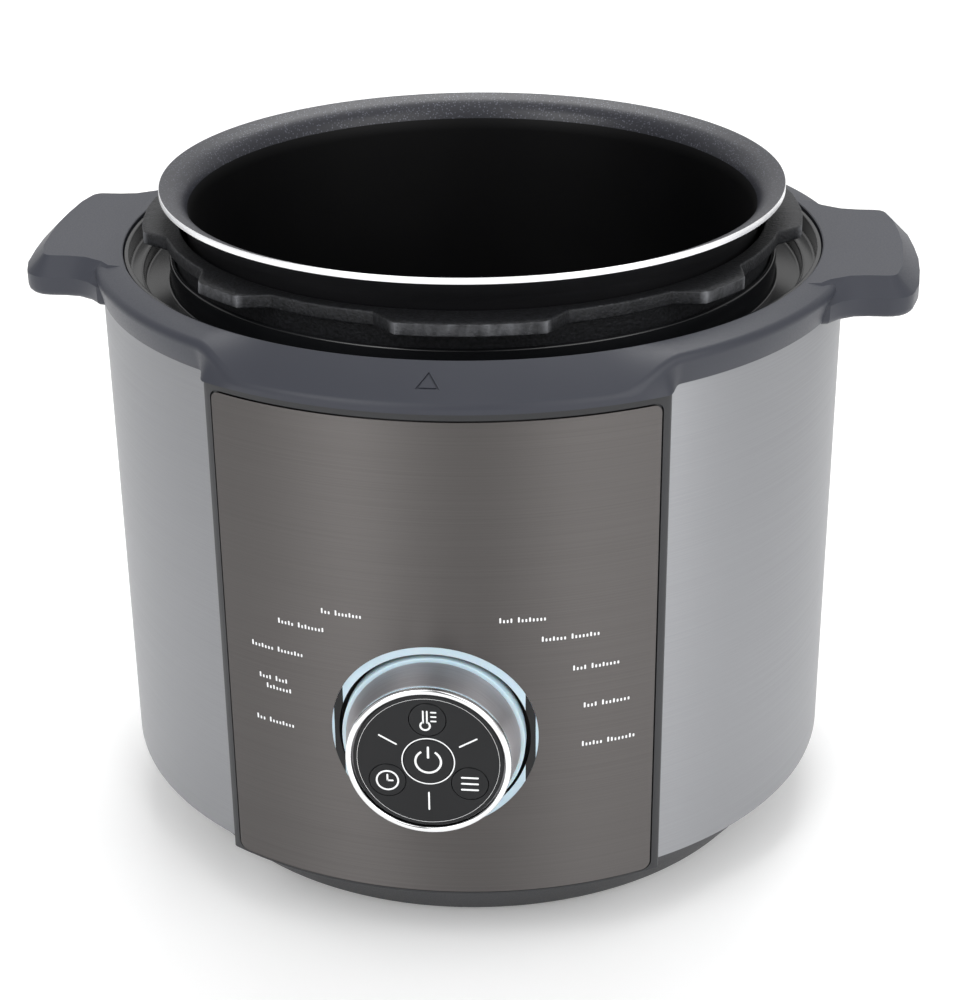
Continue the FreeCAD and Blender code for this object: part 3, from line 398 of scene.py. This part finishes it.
def finish(name, dark, light, patches, texture=None, **inputs):
    """A material with a slightly uneven tone and, if given, a relief of (scale, strength, distance)."""
    material, tree, shader = surface(name, **inputs)
    tones(tree, shader, grain(tree, patches), dark, light)
    if texture:
        scale, strength, distance = texture
        relief(tree, shader, grain(tree, scale), strength, distance)
    return material


gloss_black = finish("gloss_black_abs", "#121315", "#17181a", 10, (300, 0.03, 0.0001),
                     Roughness=0.22, IOR=1.5)

ring_low, ring_high = box_of("condensation_ring")
ring_foot, gutter_bore, step_height = ring_low[2], 118, 5.5
gutter = turned([
    (gutter_bore, ring_foot), (132, ring_foot), (132, ring_foot + step_height),
    (137.6, ring_foot + step_height),
    (137.6, ring_high[2], 0.5), (135.7, ring_high[2], 0.5), (135.7, ring_foot + 7.5, 1.2),
    (130, ring_foot + 7.5, 1.5), (130, ring_foot + 2, 1.0), (120, ring_foot + 2, 1.0),
    (120, ring_high[2] - 2.4, 0.8), (gutter_bore, ring_high[2] - 2.4, 0.8),
])
piece("gutter_ring", gutter, gloss_black, "cooker_body", "condensation_ring")


# Outer pot. Cast aluminium with a black finish: its bayonet flange has eight lugs in two widths,
# and its skin is grainy from the mould. Its edges carry a painted highlight, bright in patches.

cast_metal, tree, shader = surface("cast_aluminium_black", Metallic=0.35, Roughness=0.55)
sand = grain(tree, 900, detail=5.0)
blotch = grain(tree, 60, detail=4.0)
geometry = add(tree, "ShaderNodeNewGeometry")
# Painted highlight: convex edges, found by pointiness and broken up by the blotch noise, are mixed towards
# bright silver.
edge_highlight_mask = add(tree, "ShaderNodeMapRange", inputs={
    "Value": geometry.outputs["Pointiness"], "From Min": 0.53, "From Max": 0.60}).outputs[0]
painted_highlight_share = add(tree, "ShaderNodeMath", {"operation": "MULTIPLY"}, {0: edge_highlight_mask, 1: blotch}).outputs[0]
skin = add(tree, "ShaderNodeMix", {"data_type": "RGBA"}, {"Factor": spread(tree, sand, 0, 1)})
skin.inputs[6].default_value = linear("#0f1011")
skin.inputs[7].default_value = linear("#26272b")
highlighted_skin = add(tree, "ShaderNodeMix", {"data_type": "RGBA"}, {"Factor": painted_highlight_share})
tree.links.new(skin.outputs[2], highlighted_skin.inputs[6])
highlighted_skin.inputs[7].default_value = linear("#c4c6cc")
tree.links.new(highlighted_skin.outputs[2], shader.inputs["Base Color"])
relief(tree, shader, sand, 0.55, 0.0006)

pot_low, pot_high = box_of("outer_pot")
lug_top = pot_high[2]
lug_foot = lug_top - 5.5
lug_radius, recess_radius = 129.8, 122.0
flange_root = 118.5
lug_turn = 5.7
outside, inside_wall, floor_hole = 117.5, 115.2, 40
cast = turned([
    (floor_hole, pot_low[2]), (109.5, pot_low[2]), (outside, pot_low[2] + 8), (outside, lug_foot, 0.6),
    (recess_radius, lug_foot, 0.9), (recess_radius, lug_top, 0.9), (inside_wall, lug_top - 0.6, 0.9),
    (inside_wall, pot_low[2] + 9), (108, pot_low[2] + 2.5), (floor_hole, pot_low[2] + 2.5),
], steps=720)


def lug_reach(angle):
    """How far the flange reaches at a bearing from the front: 0 in a recess, 1 on a lug."""
    reach = 0.0
    for index in range(8):
        half_width = 7.0 if index % 2 else 14.0
        off = abs((angle - lug_turn - 45 * index + 180) % 360 - 180)
        reach = max(reach, min(1.0, max(0.0, (half_width + 2.2 - off) / 4.4)))
    return reach


for vert in cast.verts:
    radius = math.hypot(vert.co.x, vert.co.y)
    if radius > flange_root:
        bearing = math.degrees(math.atan2(vert.co.x, -vert.co.y))
        share = (radius - flange_root) / (recess_radius - flange_root)
        out = (lug_radius - recess_radius) * lug_reach(bearing) * share
        rough = 0.28 * noise.noise(vert.co * 0.22) + 0.12 * noise.noise(vert.co * 0.9)
        scale = (radius + min(out, lug_radius - radius) + rough - 0.2) / radius
        vert.co.x *= scale
        vert.co.y *= scale
        vert.co.z += 0.5 * rough - 0.15
piece("cast_pot", cast, cast_metal, "cooker_body", "outer_pot")


# Inner pot. Drawn aluminium with a non-stick coat: speckled on the flange and satin black outside,
# with the rim's edge machined to bright metal. Inside, the coat is painted near-black as shade, without
# specks.

speckled_coat, tree, shader = surface("speckled_non_stick_coat", Roughness=0.38, IOR=1.45)
specks = add(tree, "ShaderNodeTexVoronoi", inputs={
    "Vector": add(tree, "ShaderNodeTexCoord").outputs["Object"], "Scale": 900.0}).outputs["Distance"]
ramp = add(tree, "ShaderNodeValToRGB", inputs={"Fac": specks})
ramp.color_ramp.elements[0].position = 0.10
ramp.color_ramp.elements[0].color = linear("#5d5f6a")
ramp.color_ramp.elements[1].position = 0.34
ramp.color_ramp.elements[1].color = linear("#23242b")
tree.links.new(ramp.outputs["Color"], shader.inputs["Base Color"])
relief(tree, shader, grain(tree, 1400), 0.25, 0.0001)

# Painted shade: the coat inside the pot, made near-black and without the flange's specks.
shaded_inner_coat = finish("non_stick_coat_painted_shade", "#040405", "#070708", 20, (1200, 0.08, 0.00006),
                    Roughness=0.5, IOR=1.45, Specular_IOR_Level=0.2)
satin_black = finish("satin_black_enamel", "#19191b", "#1e1e20", 20, (1200, 0.08, 0.00006),
                     Roughness=0.36, IOR=1.5)

machined, tree, shader = surface("machined_aluminium", Metallic=0.85, Roughness=0.34)
turning = grain(tree, 1.0, (15, 15, 5000))
tones(tree, shader, turning, "#f2f3f5", "#fbfbfc")
relief(tree, shader, turning, 0.08, 0.00005)

rim_low, rim_high = box_of("inner_pot")
rim_radius, rim_top, pot_floor = rim_high[0], rim_high[2], rim_low[2]
pot_inner, pot_sheet = 111.0, 1.6
pot_outer = pot_inner + pot_sheet
rim_edge, flare_height = 2.4, 9.5
pot = turned([
    (0, pot_floor), (pot_outer - 14, pot_floor), (pot_outer, pot_floor, 13.5), (pot_outer, rim_top - 12.5, 5),
    (rim_radius - 1.2, rim_top - 3.3, 2.5), (rim_radius, rim_top - rim_edge, 0.4),
    (rim_radius, rim_top, 0.25), (pot_inner + 3.8, rim_top - 3.0, 3.4),
    (pot_inner, rim_top - flare_height, 4.5), (pot_inner, pot_floor + pot_sheet, 13.0),
    (0, pot_floor + pot_sheet),
], steps=300)
pot_materials = [speckled_coat, satin_black, machined, shaded_inner_coat]
for face in pot.faces:
    centre = face.calc_center_median()
    radius = math.hypot(centre.x, centre.y)
    faces_outwards = face.normal.x * centre.x + face.normal.y * centre.y > 0.1 * radius
    if radius > rim_radius - 0.3 and centre.z > rim_top - rim_edge - 0.1:
        face.material_index = pot_materials.index(machined)
    elif faces_outwards or face.normal.z < -0.5:
        face.material_index = pot_materials.index(satin_black)
    # Painted shade: faces inside the pot below the flare take the darkened coat.
    elif centre.z < rim_top - flare_height + 0.5:
        face.material_index = pot_materials.index(shaded_inner_coat)
piece("pot_pan", pot, pot_materials, "pot", "inner_pot", sharp=40)


# Panel frame. The black moulding that fills the shell's window: proud of the shell, with
# chamfered sides, a recess for the panel and a round hole for the dial.

satin_frame, tree, shader = surface("moulded_black_abs", Roughness=0.38, IOR=1.5)
texture = grain(tree, 1600, detail=2.0)
tones(tree, shader, grain(tree, 15), "#1d1e21", "#222326")
relief(tree, shader, texture, 0.10, 0.00005)


def flat_plate(half_width, bottom, top, thickness, corner):
    """A flat plate in the xz plane with rounded corners, its face at y = 0 and its back behind."""
    bm = bmesh.new()
    verts = [bm.verts.new(place) for place in (
        (-half_width, 0, bottom), (half_width, 0, bottom), (half_width, 0, top), (-half_width, 0, top))]
    face = bm.faces.new(verts)
    if corner:
        bmesh.ops.bevel(bm, geom=verts, offset=corner, offset_type="OFFSET", segments=6, profile=0.5,
                        affect="VERTICES", material=-1)
    raised = bmesh.ops.extrude_face_region(bm, geom=list(bm.faces))["geom"]
    backs = [item for item in raised if isinstance(item, bmesh.types.BMVert)]
    bmesh.ops.translate(bm, vec=(0, thickness, 0), verts=backs)
    bmesh.ops.recalc_face_normals(bm, faces=bm.faces)
    return bm


def wrap(bm, radius):
    """Lays a flat shape on a cylinder about z. Its y becomes the depth below the cylinder."""
    for vert in bm.verts:
        x, depth = vert.co.x, vert.co.y
        inwards = (radius - depth) / radius
        vert.co.x = x * inwards
        vert.co.y = -math.sqrt(radius * radius - x * x) * inwards


def bend(bm, radius, slices=96, half_angle=35.0):
    """Cuts a flat plate into narrow strips and wraps it on a cylinder, holes kept round."""
    for index in range(slices + 1):
        angle = math.radians(half_angle * (2 * index / slices - 1))
        bmesh.ops.bisect_plane(bm, geom=list(bm.verts) + list(bm.edges) + list(bm.faces), dist=1e-5,
                               plane_co=(radius * math.sin(angle), 0, 0), plane_no=(1, 0, 0))
    wrap(bm, radius)
    bmesh.ops.recalc_face_normals(bm, faces=bm.faces)
    return bm


def round_bar(radius, back, front, x=0.0, z=0.0, segments=128):
    """A solid bar along y, for round holes."""
    bm = bmesh.new()
    bmesh.ops.create_cone(bm, cap_ends=True, segments=segments, radius1=radius, radius2=radius,
                          depth=front - back)
    bmesh.ops.rotate(bm, cent=(0, 0, 0), matrix=Matrix.Rotation(math.radians(90), 3, "X"), verts=bm.verts)
    bmesh.ops.translate(bm, vec=(x, (front + back) / 2, z), verts=bm.verts)
    return bm


frame_low, frame_high = box_of("panel_frame")
panel_low, panel_high = box_of("control_panel")
light_low, light_high = box_of("light_ring")
dial_height = (light_low[2] + light_high[2]) / 2
light_radius = light_high[0]
frame_radius = -frame_low[1]
panel_radius = -panel_low[1]
frame_thickness, panel_gap, recess_depth = 4.6, 0.55, 0.9
surround = flat_plate(frame_high[0], frame_low[2], frame_high[2], frame_thickness, 0)
sides = [edge for edge in surround.edges if abs(edge.verts[0].co.x - edge.verts[1].co.x) < 0.01
         and edge.verts[0].co.y < 0.01 and edge.verts[1].co.y < 0.01]
bmesh.ops.bevel(surround, geom=sides, offset=1.6, offset_type="OFFSET", segments=3, profile=0.5,
                affect="EDGES", material=-1)
recess = flat_plate(panel_high[0] + panel_gap, panel_low[2] - 0.5, panel_high[2] + 0.5, 6, 3.2)
bmesh.ops.translate(recess, vec=(0, recess_depth - 6, 0), verts=recess.verts)
surround = combine(surround, recess)
surround = combine(surround, round_bar(light_radius + 0.05, -20, 20, z=dial_height))
piece("panel_surround", bend(surround, frame_radius), satin_frame, "cooker_body", "panel_frame")


# Control panel. A thin sheet of warm grey metal, brushed across. It lies in the frame's recess
# and has a round hole for the light ring.

bronze_metal = brushed("brushed_bronze_steel", "#615e5d", "#656261", 0.42, (9, 9, 3600))

panel = flat_plate(panel_high[0], panel_low[2], panel_high[2], 1.0, 3.0)
panel = combine(panel, round_bar(light_radius + 0.05, -20, 20, z=dial_height))
soften(piece("panel_sheet", bend(panel, panel_radius), bronze_metal, "cooker_body", "control_panel"), 0.25, 2)

# Print. White screen print on the panel: ten short labels round the dial, one of them on two
# lines. Each is a row of plain strokes of uneven height, in place of words.

white_ink = finish("white_screen_print", "#e6e7e8", "#f2f3f4", 400, Roughness=0.5)


def gather(bm, part):
    """Adds one mesh to another. The added one is used up."""
    mesh = bpy.data.meshes.new("work")
    part.to_mesh(mesh)
    part.free()
    bm.from_mesh(mesh)
    bpy.data.meshes.remove(mesh)


def stroke(length, height, thickness):
    """A thin upright bar with rounded corners."""
    return flat_plate(length / 2, -height / 2, height / 2, thickness, 0.45 * min(length, height))


# Each row is (x, z above the dial's centre, strokes in its first word, strokes in its second).
rows = [(-32.8, 47.2, 3, 8), (-48.5, 39.4, 5, 8), (-58.4, 27.2, 7, 8), (-60.6, 14.4, 4, 4),
        (-59.2, 10.6, 0, 8), (-60.7, -4, 3, 8), (32.3, 47.8, 4, 8), (49.1, 39.3, 7, 8),
        (58.2, 26.1, 4, 8), (62.1, 10.1, 4, 8), (62.9, -6.2, 6, 8)]
stroke_pitch, stroke_width = 1.3, 0.62
capital, ascender, small = 2.1, 1.75, 1.25
ink_thickness = 0.05
print_bars = bmesh.new()
for across, up, first, second in rows:
    for spot in range(first + second + 1):
        if spot == first:
            continue
        starts_word = spot in (0, first + 1)
        tall = capital if starts_word else ascender if (spot * 7) % 5 == 1 else small
        bar = stroke(stroke_width, tall, ink_thickness)
        place = across + (spot - (first + second) / 2) * stroke_pitch
        bmesh.ops.translate(bar, vec=(place, -ink_thickness * 0.6, dial_height + up + tall / 2),
                            verts=bar.verts)
        gather(print_bars, bar)
wrap(print_bars, panel_radius)
piece("panel_print", print_bars, white_ink, "cooker_body")


# Light ring. A frosted polycarbonate pipe round the dial, cut flush with the panel's curve.
# Its bore is the well that the dial's foot turns in.

frosted = finish("frosted_polycarbonate", "#c6d4dd", "#d1dce3", 60, (900, 0.05, 0.0001),
                 Roughness=0.42, IOR=1.58, Subsurface_Weight=0.3)

light_inner = light_radius - 2.8
pipe_back, pipe_front, bore_back, bore_front = 142.8, 160, 140, 170
light = combine(round_bar(light_radius, pipe_back, pipe_front), round_bar(light_inner, bore_back, bore_front))
bmesh.ops.translate(light, vec=(0, -pipe_back - pipe_front, dial_height), verts=light.verts)
panel_skin = panel_radius + 0.02
light = combine(light, turned([(0, 0), (panel_skin, 0), (panel_skin, 240), (0, 240)]), "INTERSECT")

# Painted shade on the ring's inner wall: matt black, where the frosted bore is dark only from shade. It also
# takes in part of the ring's front at the left and right, where a face's centre falls inside the bore.
# Further on, the same material is the real matt black of the inlet and of the parts inside.
black_plastic_and_painted_shade = finish("matt_black_abs_and_painted_shade", "#0b0b0c", "#101012", 40, Roughness=0.7)
for face in light.faces:
    centre = face.calc_center_median()
    if math.hypot(centre.x, centre.z - dial_height) < light_inner + 0.1:
        face.material_index = 1
soften(piece("light_pipe_ring", light, [frosted, black_plastic_and_painted_shade], "cooker_body", "light_ring"), 0.2, 2)


# Dial. An aluminium drum that tapers to a polished rim, on a frosted foot ring. The three turn
# together about the dial's axis.

brushed_dial = brushed("brushed_aluminium_grey", "#a5a3a6", "#adabae", 0.4, (60, 2600, 60), "Y")

polished = finish("polished_chrome", "#f2f3f4", "#f7f8f9", 60, (200, 0.02, 0.0001),
                  Metallic=1.0, Roughness=0.12)


def face_on(corners, steps=180):
    """Spins an outline of (radius, distance in front of the cooker's axis) about the dial's axis."""
    bm = turned(corners, steps)
    bmesh.ops.rotate(bm, cent=(0, 0, 0), matrix=Matrix.Rotation(math.radians(90), 3, "X"), verts=bm.verts)
    bmesh.ops.translate(bm, vec=(0, 0, dial_height), verts=bm.verts)
    return bm


shoulder_radius = box_of("dial_drum")[1][0]
rim_box_low, rim_box_high = box_of("dial_rim")
foot_low, foot_high = box_of("dial_foot_ring")
dial_front = -rim_box_low[1]
rim_back = -rim_box_high[1]
shoulder = -foot_low[1]
foot_back = -foot_high[1]
foot_radius, nose_radius = foot_high[0], rim_box_high[0]
bore = 30.1
piece("dial_foot", face_on([
    (bore, foot_back), (foot_radius, foot_back), (foot_radius, shoulder, 0.5), (bore, shoulder)]),
    frosted, "dial", "dial_foot_ring")
piece("dial_barrel", face_on([
    (bore, foot_back + 1), (bore, shoulder), (shoulder_radius, shoulder, 0.4),
    (nose_radius + 0.05, rim_back - 0.1, 0.1), (26.9, rim_back), (26.9, 157.6), (13.05, 157.6),
    (13.05, 145.5), (16.05, 145.5), (16.05, 155.1),
    (27.9, 155.1), (27.9, foot_back + 1)]), brushed_dial, "dial", "dial_drum")
piece("dial_bezel", face_on([
    (27.7, rim_back), (nose_radius, rim_back, 0.2), (nose_radius, dial_front, 0.9), (27.7, dial_front, 0.7)]),
    polished, "dial", "dial_rim")


# Dial face. A fixed disc of black acrylic inside the turning rim, with four push keys set in
# it and a skirt behind its edge.

black_acrylic = finish("black_acrylic", "#101113", "#141517", 20, (700, 0.03, 0.00006),
                       Roughness=0.3, IOR=1.49, Specular_IOR_Level=0.3)

face_low, face_high = box_of("dial_face")
face_front = -face_low[1]
face_radius = face_high[0]
key_names = ["start_key", "pressure_key", "time_key", "preset_key"]
key_boxes = [box_of(name) for name in key_names]
key_centres = [((low[0] + high[0]) / 2, (low[2] + high[2]) / 2) for low, high in key_boxes]
key_radii = [(high[0] - low[0]) / 2 - 0.5 for low, high in key_boxes]
disc_back = face_front - 1.6
disc = face_on([(0, disc_back), (face_radius, disc_back), (face_radius, face_front, 0.35), (0, face_front)])
for (across, up), radius in zip(key_centres, key_radii):
    disc = combine(disc, round_bar(radius + 0.25, -face_front - 2, -face_front + 4, across, up, 96))
notch_height = dial_height - face_radius + 0.3
disc = combine(disc, round_bar(1.6, -face_front - 2, -face_front + 0.5, 0, notch_height, 32))
soften(piece("face_disc", disc, black_acrylic, "cooker_body", "dial_face"), 0.15, 2)
wall = face_on([(24.9, 160.4), (25.5, 160.4), (25.5, 165.6), (24.9, 165.6)])
piece("face_skirt", wall, black_acrylic, "cooker_body")

for name, (low, high), (across, up), radius in zip(key_names, key_boxes, key_centres, key_radii):
    front, back = -low[1], -high[1]
    key = face_on([
        (0, back), (2, back, 0.3), (2, back + 2), (radius + 0.5, back + 2), (radius + 0.5, back + 3),
        (radius, back + 3), (radius, front, 0.35), (0, front)], 96)
    bmesh.ops.translate(key, vec=(across, 0, up - dial_height), verts=key.verts)
    piece(name + "_cap", key, black_acrylic, name, name)


def ink(name, body, shapes, front):
    """Flat white strokes on the dial's face: bars and circle arcs, given from the dial's centre."""
    bm = bmesh.new()
    for kind, *numbers in shapes:
        if kind == "bar":
            x, z, length, height, turn = numbers
            part = stroke(length, height, 0.06)
            bmesh.ops.rotate(part, cent=(0, 0, 0), matrix=Matrix.Rotation(math.radians(-turn), 3, "Y"),
                             verts=part.verts)
            bmesh.ops.translate(part, vec=(x, -front - 0.05, z + dial_height), verts=part.verts)
        else:
            x, z, radius, width, start, sweep = numbers
            part = turned([(radius - width / 2, 0), (radius + width / 2, 0), (radius + width / 2, 0.06),
                           (radius - width / 2, 0.06)], 64, sweep, start + sweep / 2)
            bmesh.ops.rotate(part, cent=(0, 0, 0), matrix=Matrix.Rotation(math.radians(90), 3, "X"),
                             verts=part.verts)
            bmesh.ops.translate(part, vec=(x, -front + 0.01, z + dial_height), verts=part.verts)
        gather(bm, part)
    piece(name, bm, white_ink, body)


# Print on the face: three ticks between the keys and two rings. Print on the keys: plain
# pictograms for start and stop, temperature, time and preset.
ticks = []
for bearing in (30, 150, 270):
    turn = math.radians(bearing)
    ticks.append(("bar", 16.7 * math.cos(turn), 16.7 * math.sin(turn), 7.6, 0.6, bearing))
ticks.append(("arc", 0, 0, 9.45, 0.42, 0, 360))
ticks.append(("arc", 0, 0, face_radius - 1.5, 0.1, 0, 360))
ink("face_print", "cooker_body", ticks, face_front)
key_front = -key_boxes[0][0][1]
ink("start_print", "start_key", [("arc", 0, 0, 4.6, 0.8, 122, 296), ("bar", 0, 3.8, 0.8, 5.0, 0)], key_front)
up_x, up_z = key_centres[1][0], key_centres[1][1] - dial_height
ink("pressure_print", "pressure_key", [
    ("arc", up_x - 0.8, up_z - 2.4, 1.7, 0.7, 115, 310), ("bar", up_x - 1.5, up_z + 1.2, 0.6, 5.2, 0),
    ("bar", up_x - 0.1, up_z + 1.2, 0.6, 5.2, 0), ("bar", up_x + 2.2, up_z + 3.2, 2.2, 0.6, 0),
    ("bar", up_x + 2.2, up_z + 1.4, 2.2, 0.6, 0), ("bar", up_x + 2.2, up_z - 0.4, 2.2, 0.6, 0)], key_front)
left_x, left_z = key_centres[2][0], key_centres[2][1] - dial_height
ink("time_print", "time_key", [
    ("arc", left_x, left_z, 3.9, 0.65, 0, 360), ("bar", left_x, left_z + 1.2, 0.65, 2.9, 0),
    ("bar", left_x + 1.0, left_z, 2.4, 0.65, 0)], key_front)
right_x, right_z = key_centres[3][0], key_centres[3][1] - dial_height
ink("preset_print", "preset_key", [
    ("bar", right_x, right_z + 2.5, 6.4, 0.7, 0), ("bar", right_x, right_z, 6.4, 0.7, 0),
    ("bar", right_x, right_z - 2.5, 6.4, 0.7, 0)], key_front)


# Rear. The condensate cup of smoked plastic, its holder, the drain spout and the mains inlet.
# They keep their CAD shapes, with smooth shading and softened edges.

smoked = finish("smoked_clear_plastic", "#4a4c50", "#54565a", 12, (500, 0.04, 0.0001),
                Roughness=0.18, IOR=1.49, Transmission_Weight=0.6)


def dressed(node, material, body, width):
    """A merged copy of a CAD node, with smooth shading and softened edges."""
    bm = bmesh.new()
    bm.from_mesh(frame["nodes"][node].data)
    bmesh.ops.scale(bm, vec=(1000, 1000, 1000), verts=bm.verts)
    bmesh.ops.remove_doubles(bm, verts=bm.verts, dist=0.002)
    bmesh.ops.dissolve_limit(bm, angle_limit=math.radians(1.0), verts=bm.verts, edges=bm.edges)
    item = piece(node + "_finished", bm, material, body, node)
    return soften(item, width, 2) if width else item


dressed("condensate_cup", smoked, "cup", 0.8)
dressed("cup_holder", moulded_dark, "cooker_body", 0.4)
dressed("drain_spout", moulded_dark, "cooker_body", 0.3)
dressed("power_inlet", black_plastic_and_painted_shade, "cooker_body", 0.5)


# Underside and inside. Pieces that show only from below or with the pot lifted out. They keep
# their CAD shapes too.

rubber = finish("black_rubber", "#151515", "#1e1e1e", 80, (1500, 0.2, 0.0001), Roughness=0.75)
zinc_steel = finish("zinc_plated_steel", "#9c9fa3", "#b4b7bb", 90, (800, 0.06, 0.00008),
                    Metallic=1.0, Roughness=0.35)
cast_heater = finish("machined_cast_aluminium", "#8d8f93", "#a7a9ad", 120, (1100, 0.1, 0.0001),
                     Metallic=1.0, Roughness=0.4)
yellow_brass = finish("nickel_brass", "#b39a5e", "#c9b074", 90, Metallic=1.0, Roughness=0.3)
solder_mask = finish("green_solder_mask", "#0f4a2a", "#17603a", 250, (500, 0.1, 0.0001), Roughness=0.35)
blue_case = finish("blue_relay_case", "#153f7d", "#1c4c92", 60, Roughness=0.35)

rolled_aluminium, tree, shader = surface("rolled_aluminium", Metallic=1.0, Roughness=0.3)
tones(tree, shader, grain(tree, 1.0, (40, 40, 900)), "#a5a7aa", "#bdbfc2")

inside = [
    ("base_plate", moulded_dark, 0.4), ("rubber_feet", rubber, 0.8), ("base_screws", zinc_steel, 0.3),
    ("heat_shield", rolled_aluminium, 0), ("pot_supports", zinc_steel, 0.3),
    ("heater_springs", zinc_steel, 0), ("heater_plate", cast_heater, 0.5),
    ("heating_element", zinc_steel, 0.5),
    ("heater_terminals", yellow_brass, 0.4), ("sensor_cap", rolled_aluminium, 0.3),
    ("sensor_strap", zinc_steel, 0.2), ("sensor_spring", zinc_steel, 0),
    ("dial_post", black_plastic_and_painted_shade, 0.3), ("led_board", black_plastic_and_painted_shade, 0), ("key_board", solder_mask, 0),
    ("key_switches", black_plastic_and_painted_shade, 0.2), ("encoder_rotor", black_plastic_and_painted_shade, 0.2), ("encoder_body", black_plastic_and_painted_shade, 0.2),
    ("control_board", solder_mask, 0), ("power_board", solder_mask, 0), ("board_standoffs", black_plastic_and_painted_shade, 0.2),
    ("transformer", black_plastic_and_painted_shade, 0.5), ("relay", blue_case, 0.4), ("capacitors", black_plastic_and_painted_shade, 0.5),
    ("pressure_switch", black_plastic_and_painted_shade, 0.3), ("thermal_fuse", zinc_steel, 0.5), ("inlet_pins", yellow_brass, 0.3),
]
for node, material, width in inside:
    dressed(node, material, frame["nodes"][node]["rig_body"], width)

# The springs under the heater and the sensor, each listed with the joint that presses it and that joint's
# travel, in metres. Each spring's finished piece gets a mesh of its own.
springs = [("heater_springs", "heater_drop", 0.003), ("sensor_spring", "sensor_press", 0.0015)]
for node, joint, travel in springs:
    low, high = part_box(node)
    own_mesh(bpy.data.objects[node + "_finished"])


# Studio. A pale floor, a surround whose brightness varies with the bearing, so that the metal
# shows soft upright bands, and three soft boxes. The camera looks down at the front.

scene = bpy.context.scene
pale_floor, tree, shader = surface("pale_floor", Roughness=0.6, Emission_Color=(1, 1, 1, 1),
                                   Emission_Strength=0.14)
tones(tree, shader, grain(tree, 3), "#f6f6f6", "#fafafa")
bm = bmesh.new()
bmesh.ops.create_grid(bm, x_segments=1, y_segments=1, size=4)
floor_mesh = bpy.data.meshes.new("floor")
bm.to_mesh(floor_mesh)
bm.free()
floor_mesh.materials.append(pale_floor)
floor = bpy.data.objects.new("floor", floor_mesh)
scene.collection.objects.link(floor)

world = bpy.data.worlds.new("studio")
scene.world = world
world.use_nodes = True
sky = world.node_tree
all_round = add(sky, "ShaderNodeTexGradient", {"gradient_type": "RADIAL"},
                {"Vector": add(sky, "ShaderNodeTexCoord").outputs["Generated"]})
walls = add(sky, "ShaderNodeValToRGB", inputs={"Fac": all_round.outputs["Fac"]})
walls.color_ramp.interpolation = "B_SPLINE"
while len(walls.color_ramp.elements) > 1:
    walls.color_ramp.elements.remove(walls.color_ramp.elements[-1])
# Each stop is a bearing in degrees, with the front at 0, and a brightness.
wall_stops = [(-90, 0.12), (-50, 0.06), (-36, 0.5), (-27, 1.0), (-18, 0.5), (0, 0.0), (12, 0.0), (26, 0.5),
              (35, 1.0), (44, 0.5), (54, 0.12), (70, 0.35), (90, 0.14), (180, 0.28), (269, 0.12)]
for turn, brightness in wall_stops:
    stop = walls.color_ramp.elements.new(0.25 + turn / 360)
    stop.color = (brightness, brightness, brightness, 1)
walls.color_ramp.elements.remove(walls.color_ramp.elements[0])
sky.links.new(walls.outputs["Color"], sky.nodes["Background"].inputs["Color"])
sky.nodes["Background"].inputs["Strength"].default_value = 3.2
scene.view_settings.view_transform = "Standard"


def soft_box(name, place, aim, size, watts):
    """A rectangular lamp that points at a place, all in metres."""
    light = bpy.data.lights.new(name, "AREA")
    light.shape = "RECTANGLE"
    light.size, light.size_y = size
    light.energy = watts
    item = bpy.data.objects.new(name, light)
    item.location = place
    item.rotation_euler = (Vector(aim) - Vector(place)).to_track_quat("-Z", "Y").to_euler()
    scene.collection.objects.link(item)


soft_box("key_box", (-1.1, -1.3, 1.5), (0, 0, 0.12), (0.9, 1.2), 10)
soft_box("fill_box", (1.4, -0.9, 1.1), (0, 0, 0.12), (0.8, 1.2), 7)
soft_box("top_box", (0.0, 0.9, 1.6), (0, 0, 0.2), (1.2, 0.8), 14)

camera_place = Vector((0.0896, -0.8247, 0.5150))
camera_yaw, camera_tilt, camera_roll = math.radians(6.15), 0.44328, -0.011286
camera_data = bpy.data.cameras.new("camera")
camera_data.sensor_width = 36
camera_data.lens = 78.49
camera = bpy.data.objects.new("camera", camera_data)
camera.matrix_world = (Matrix.Translation(camera_place) @ Matrix.Rotation(camera_yaw, 4, "Z")
                       @ Matrix.Rotation(math.pi / 2 - camera_tilt, 4, "X")
                       @ Matrix.Rotation(camera_roll, 4, "Z"))
scene.collection.objects.link(camera)
scene.camera = camera
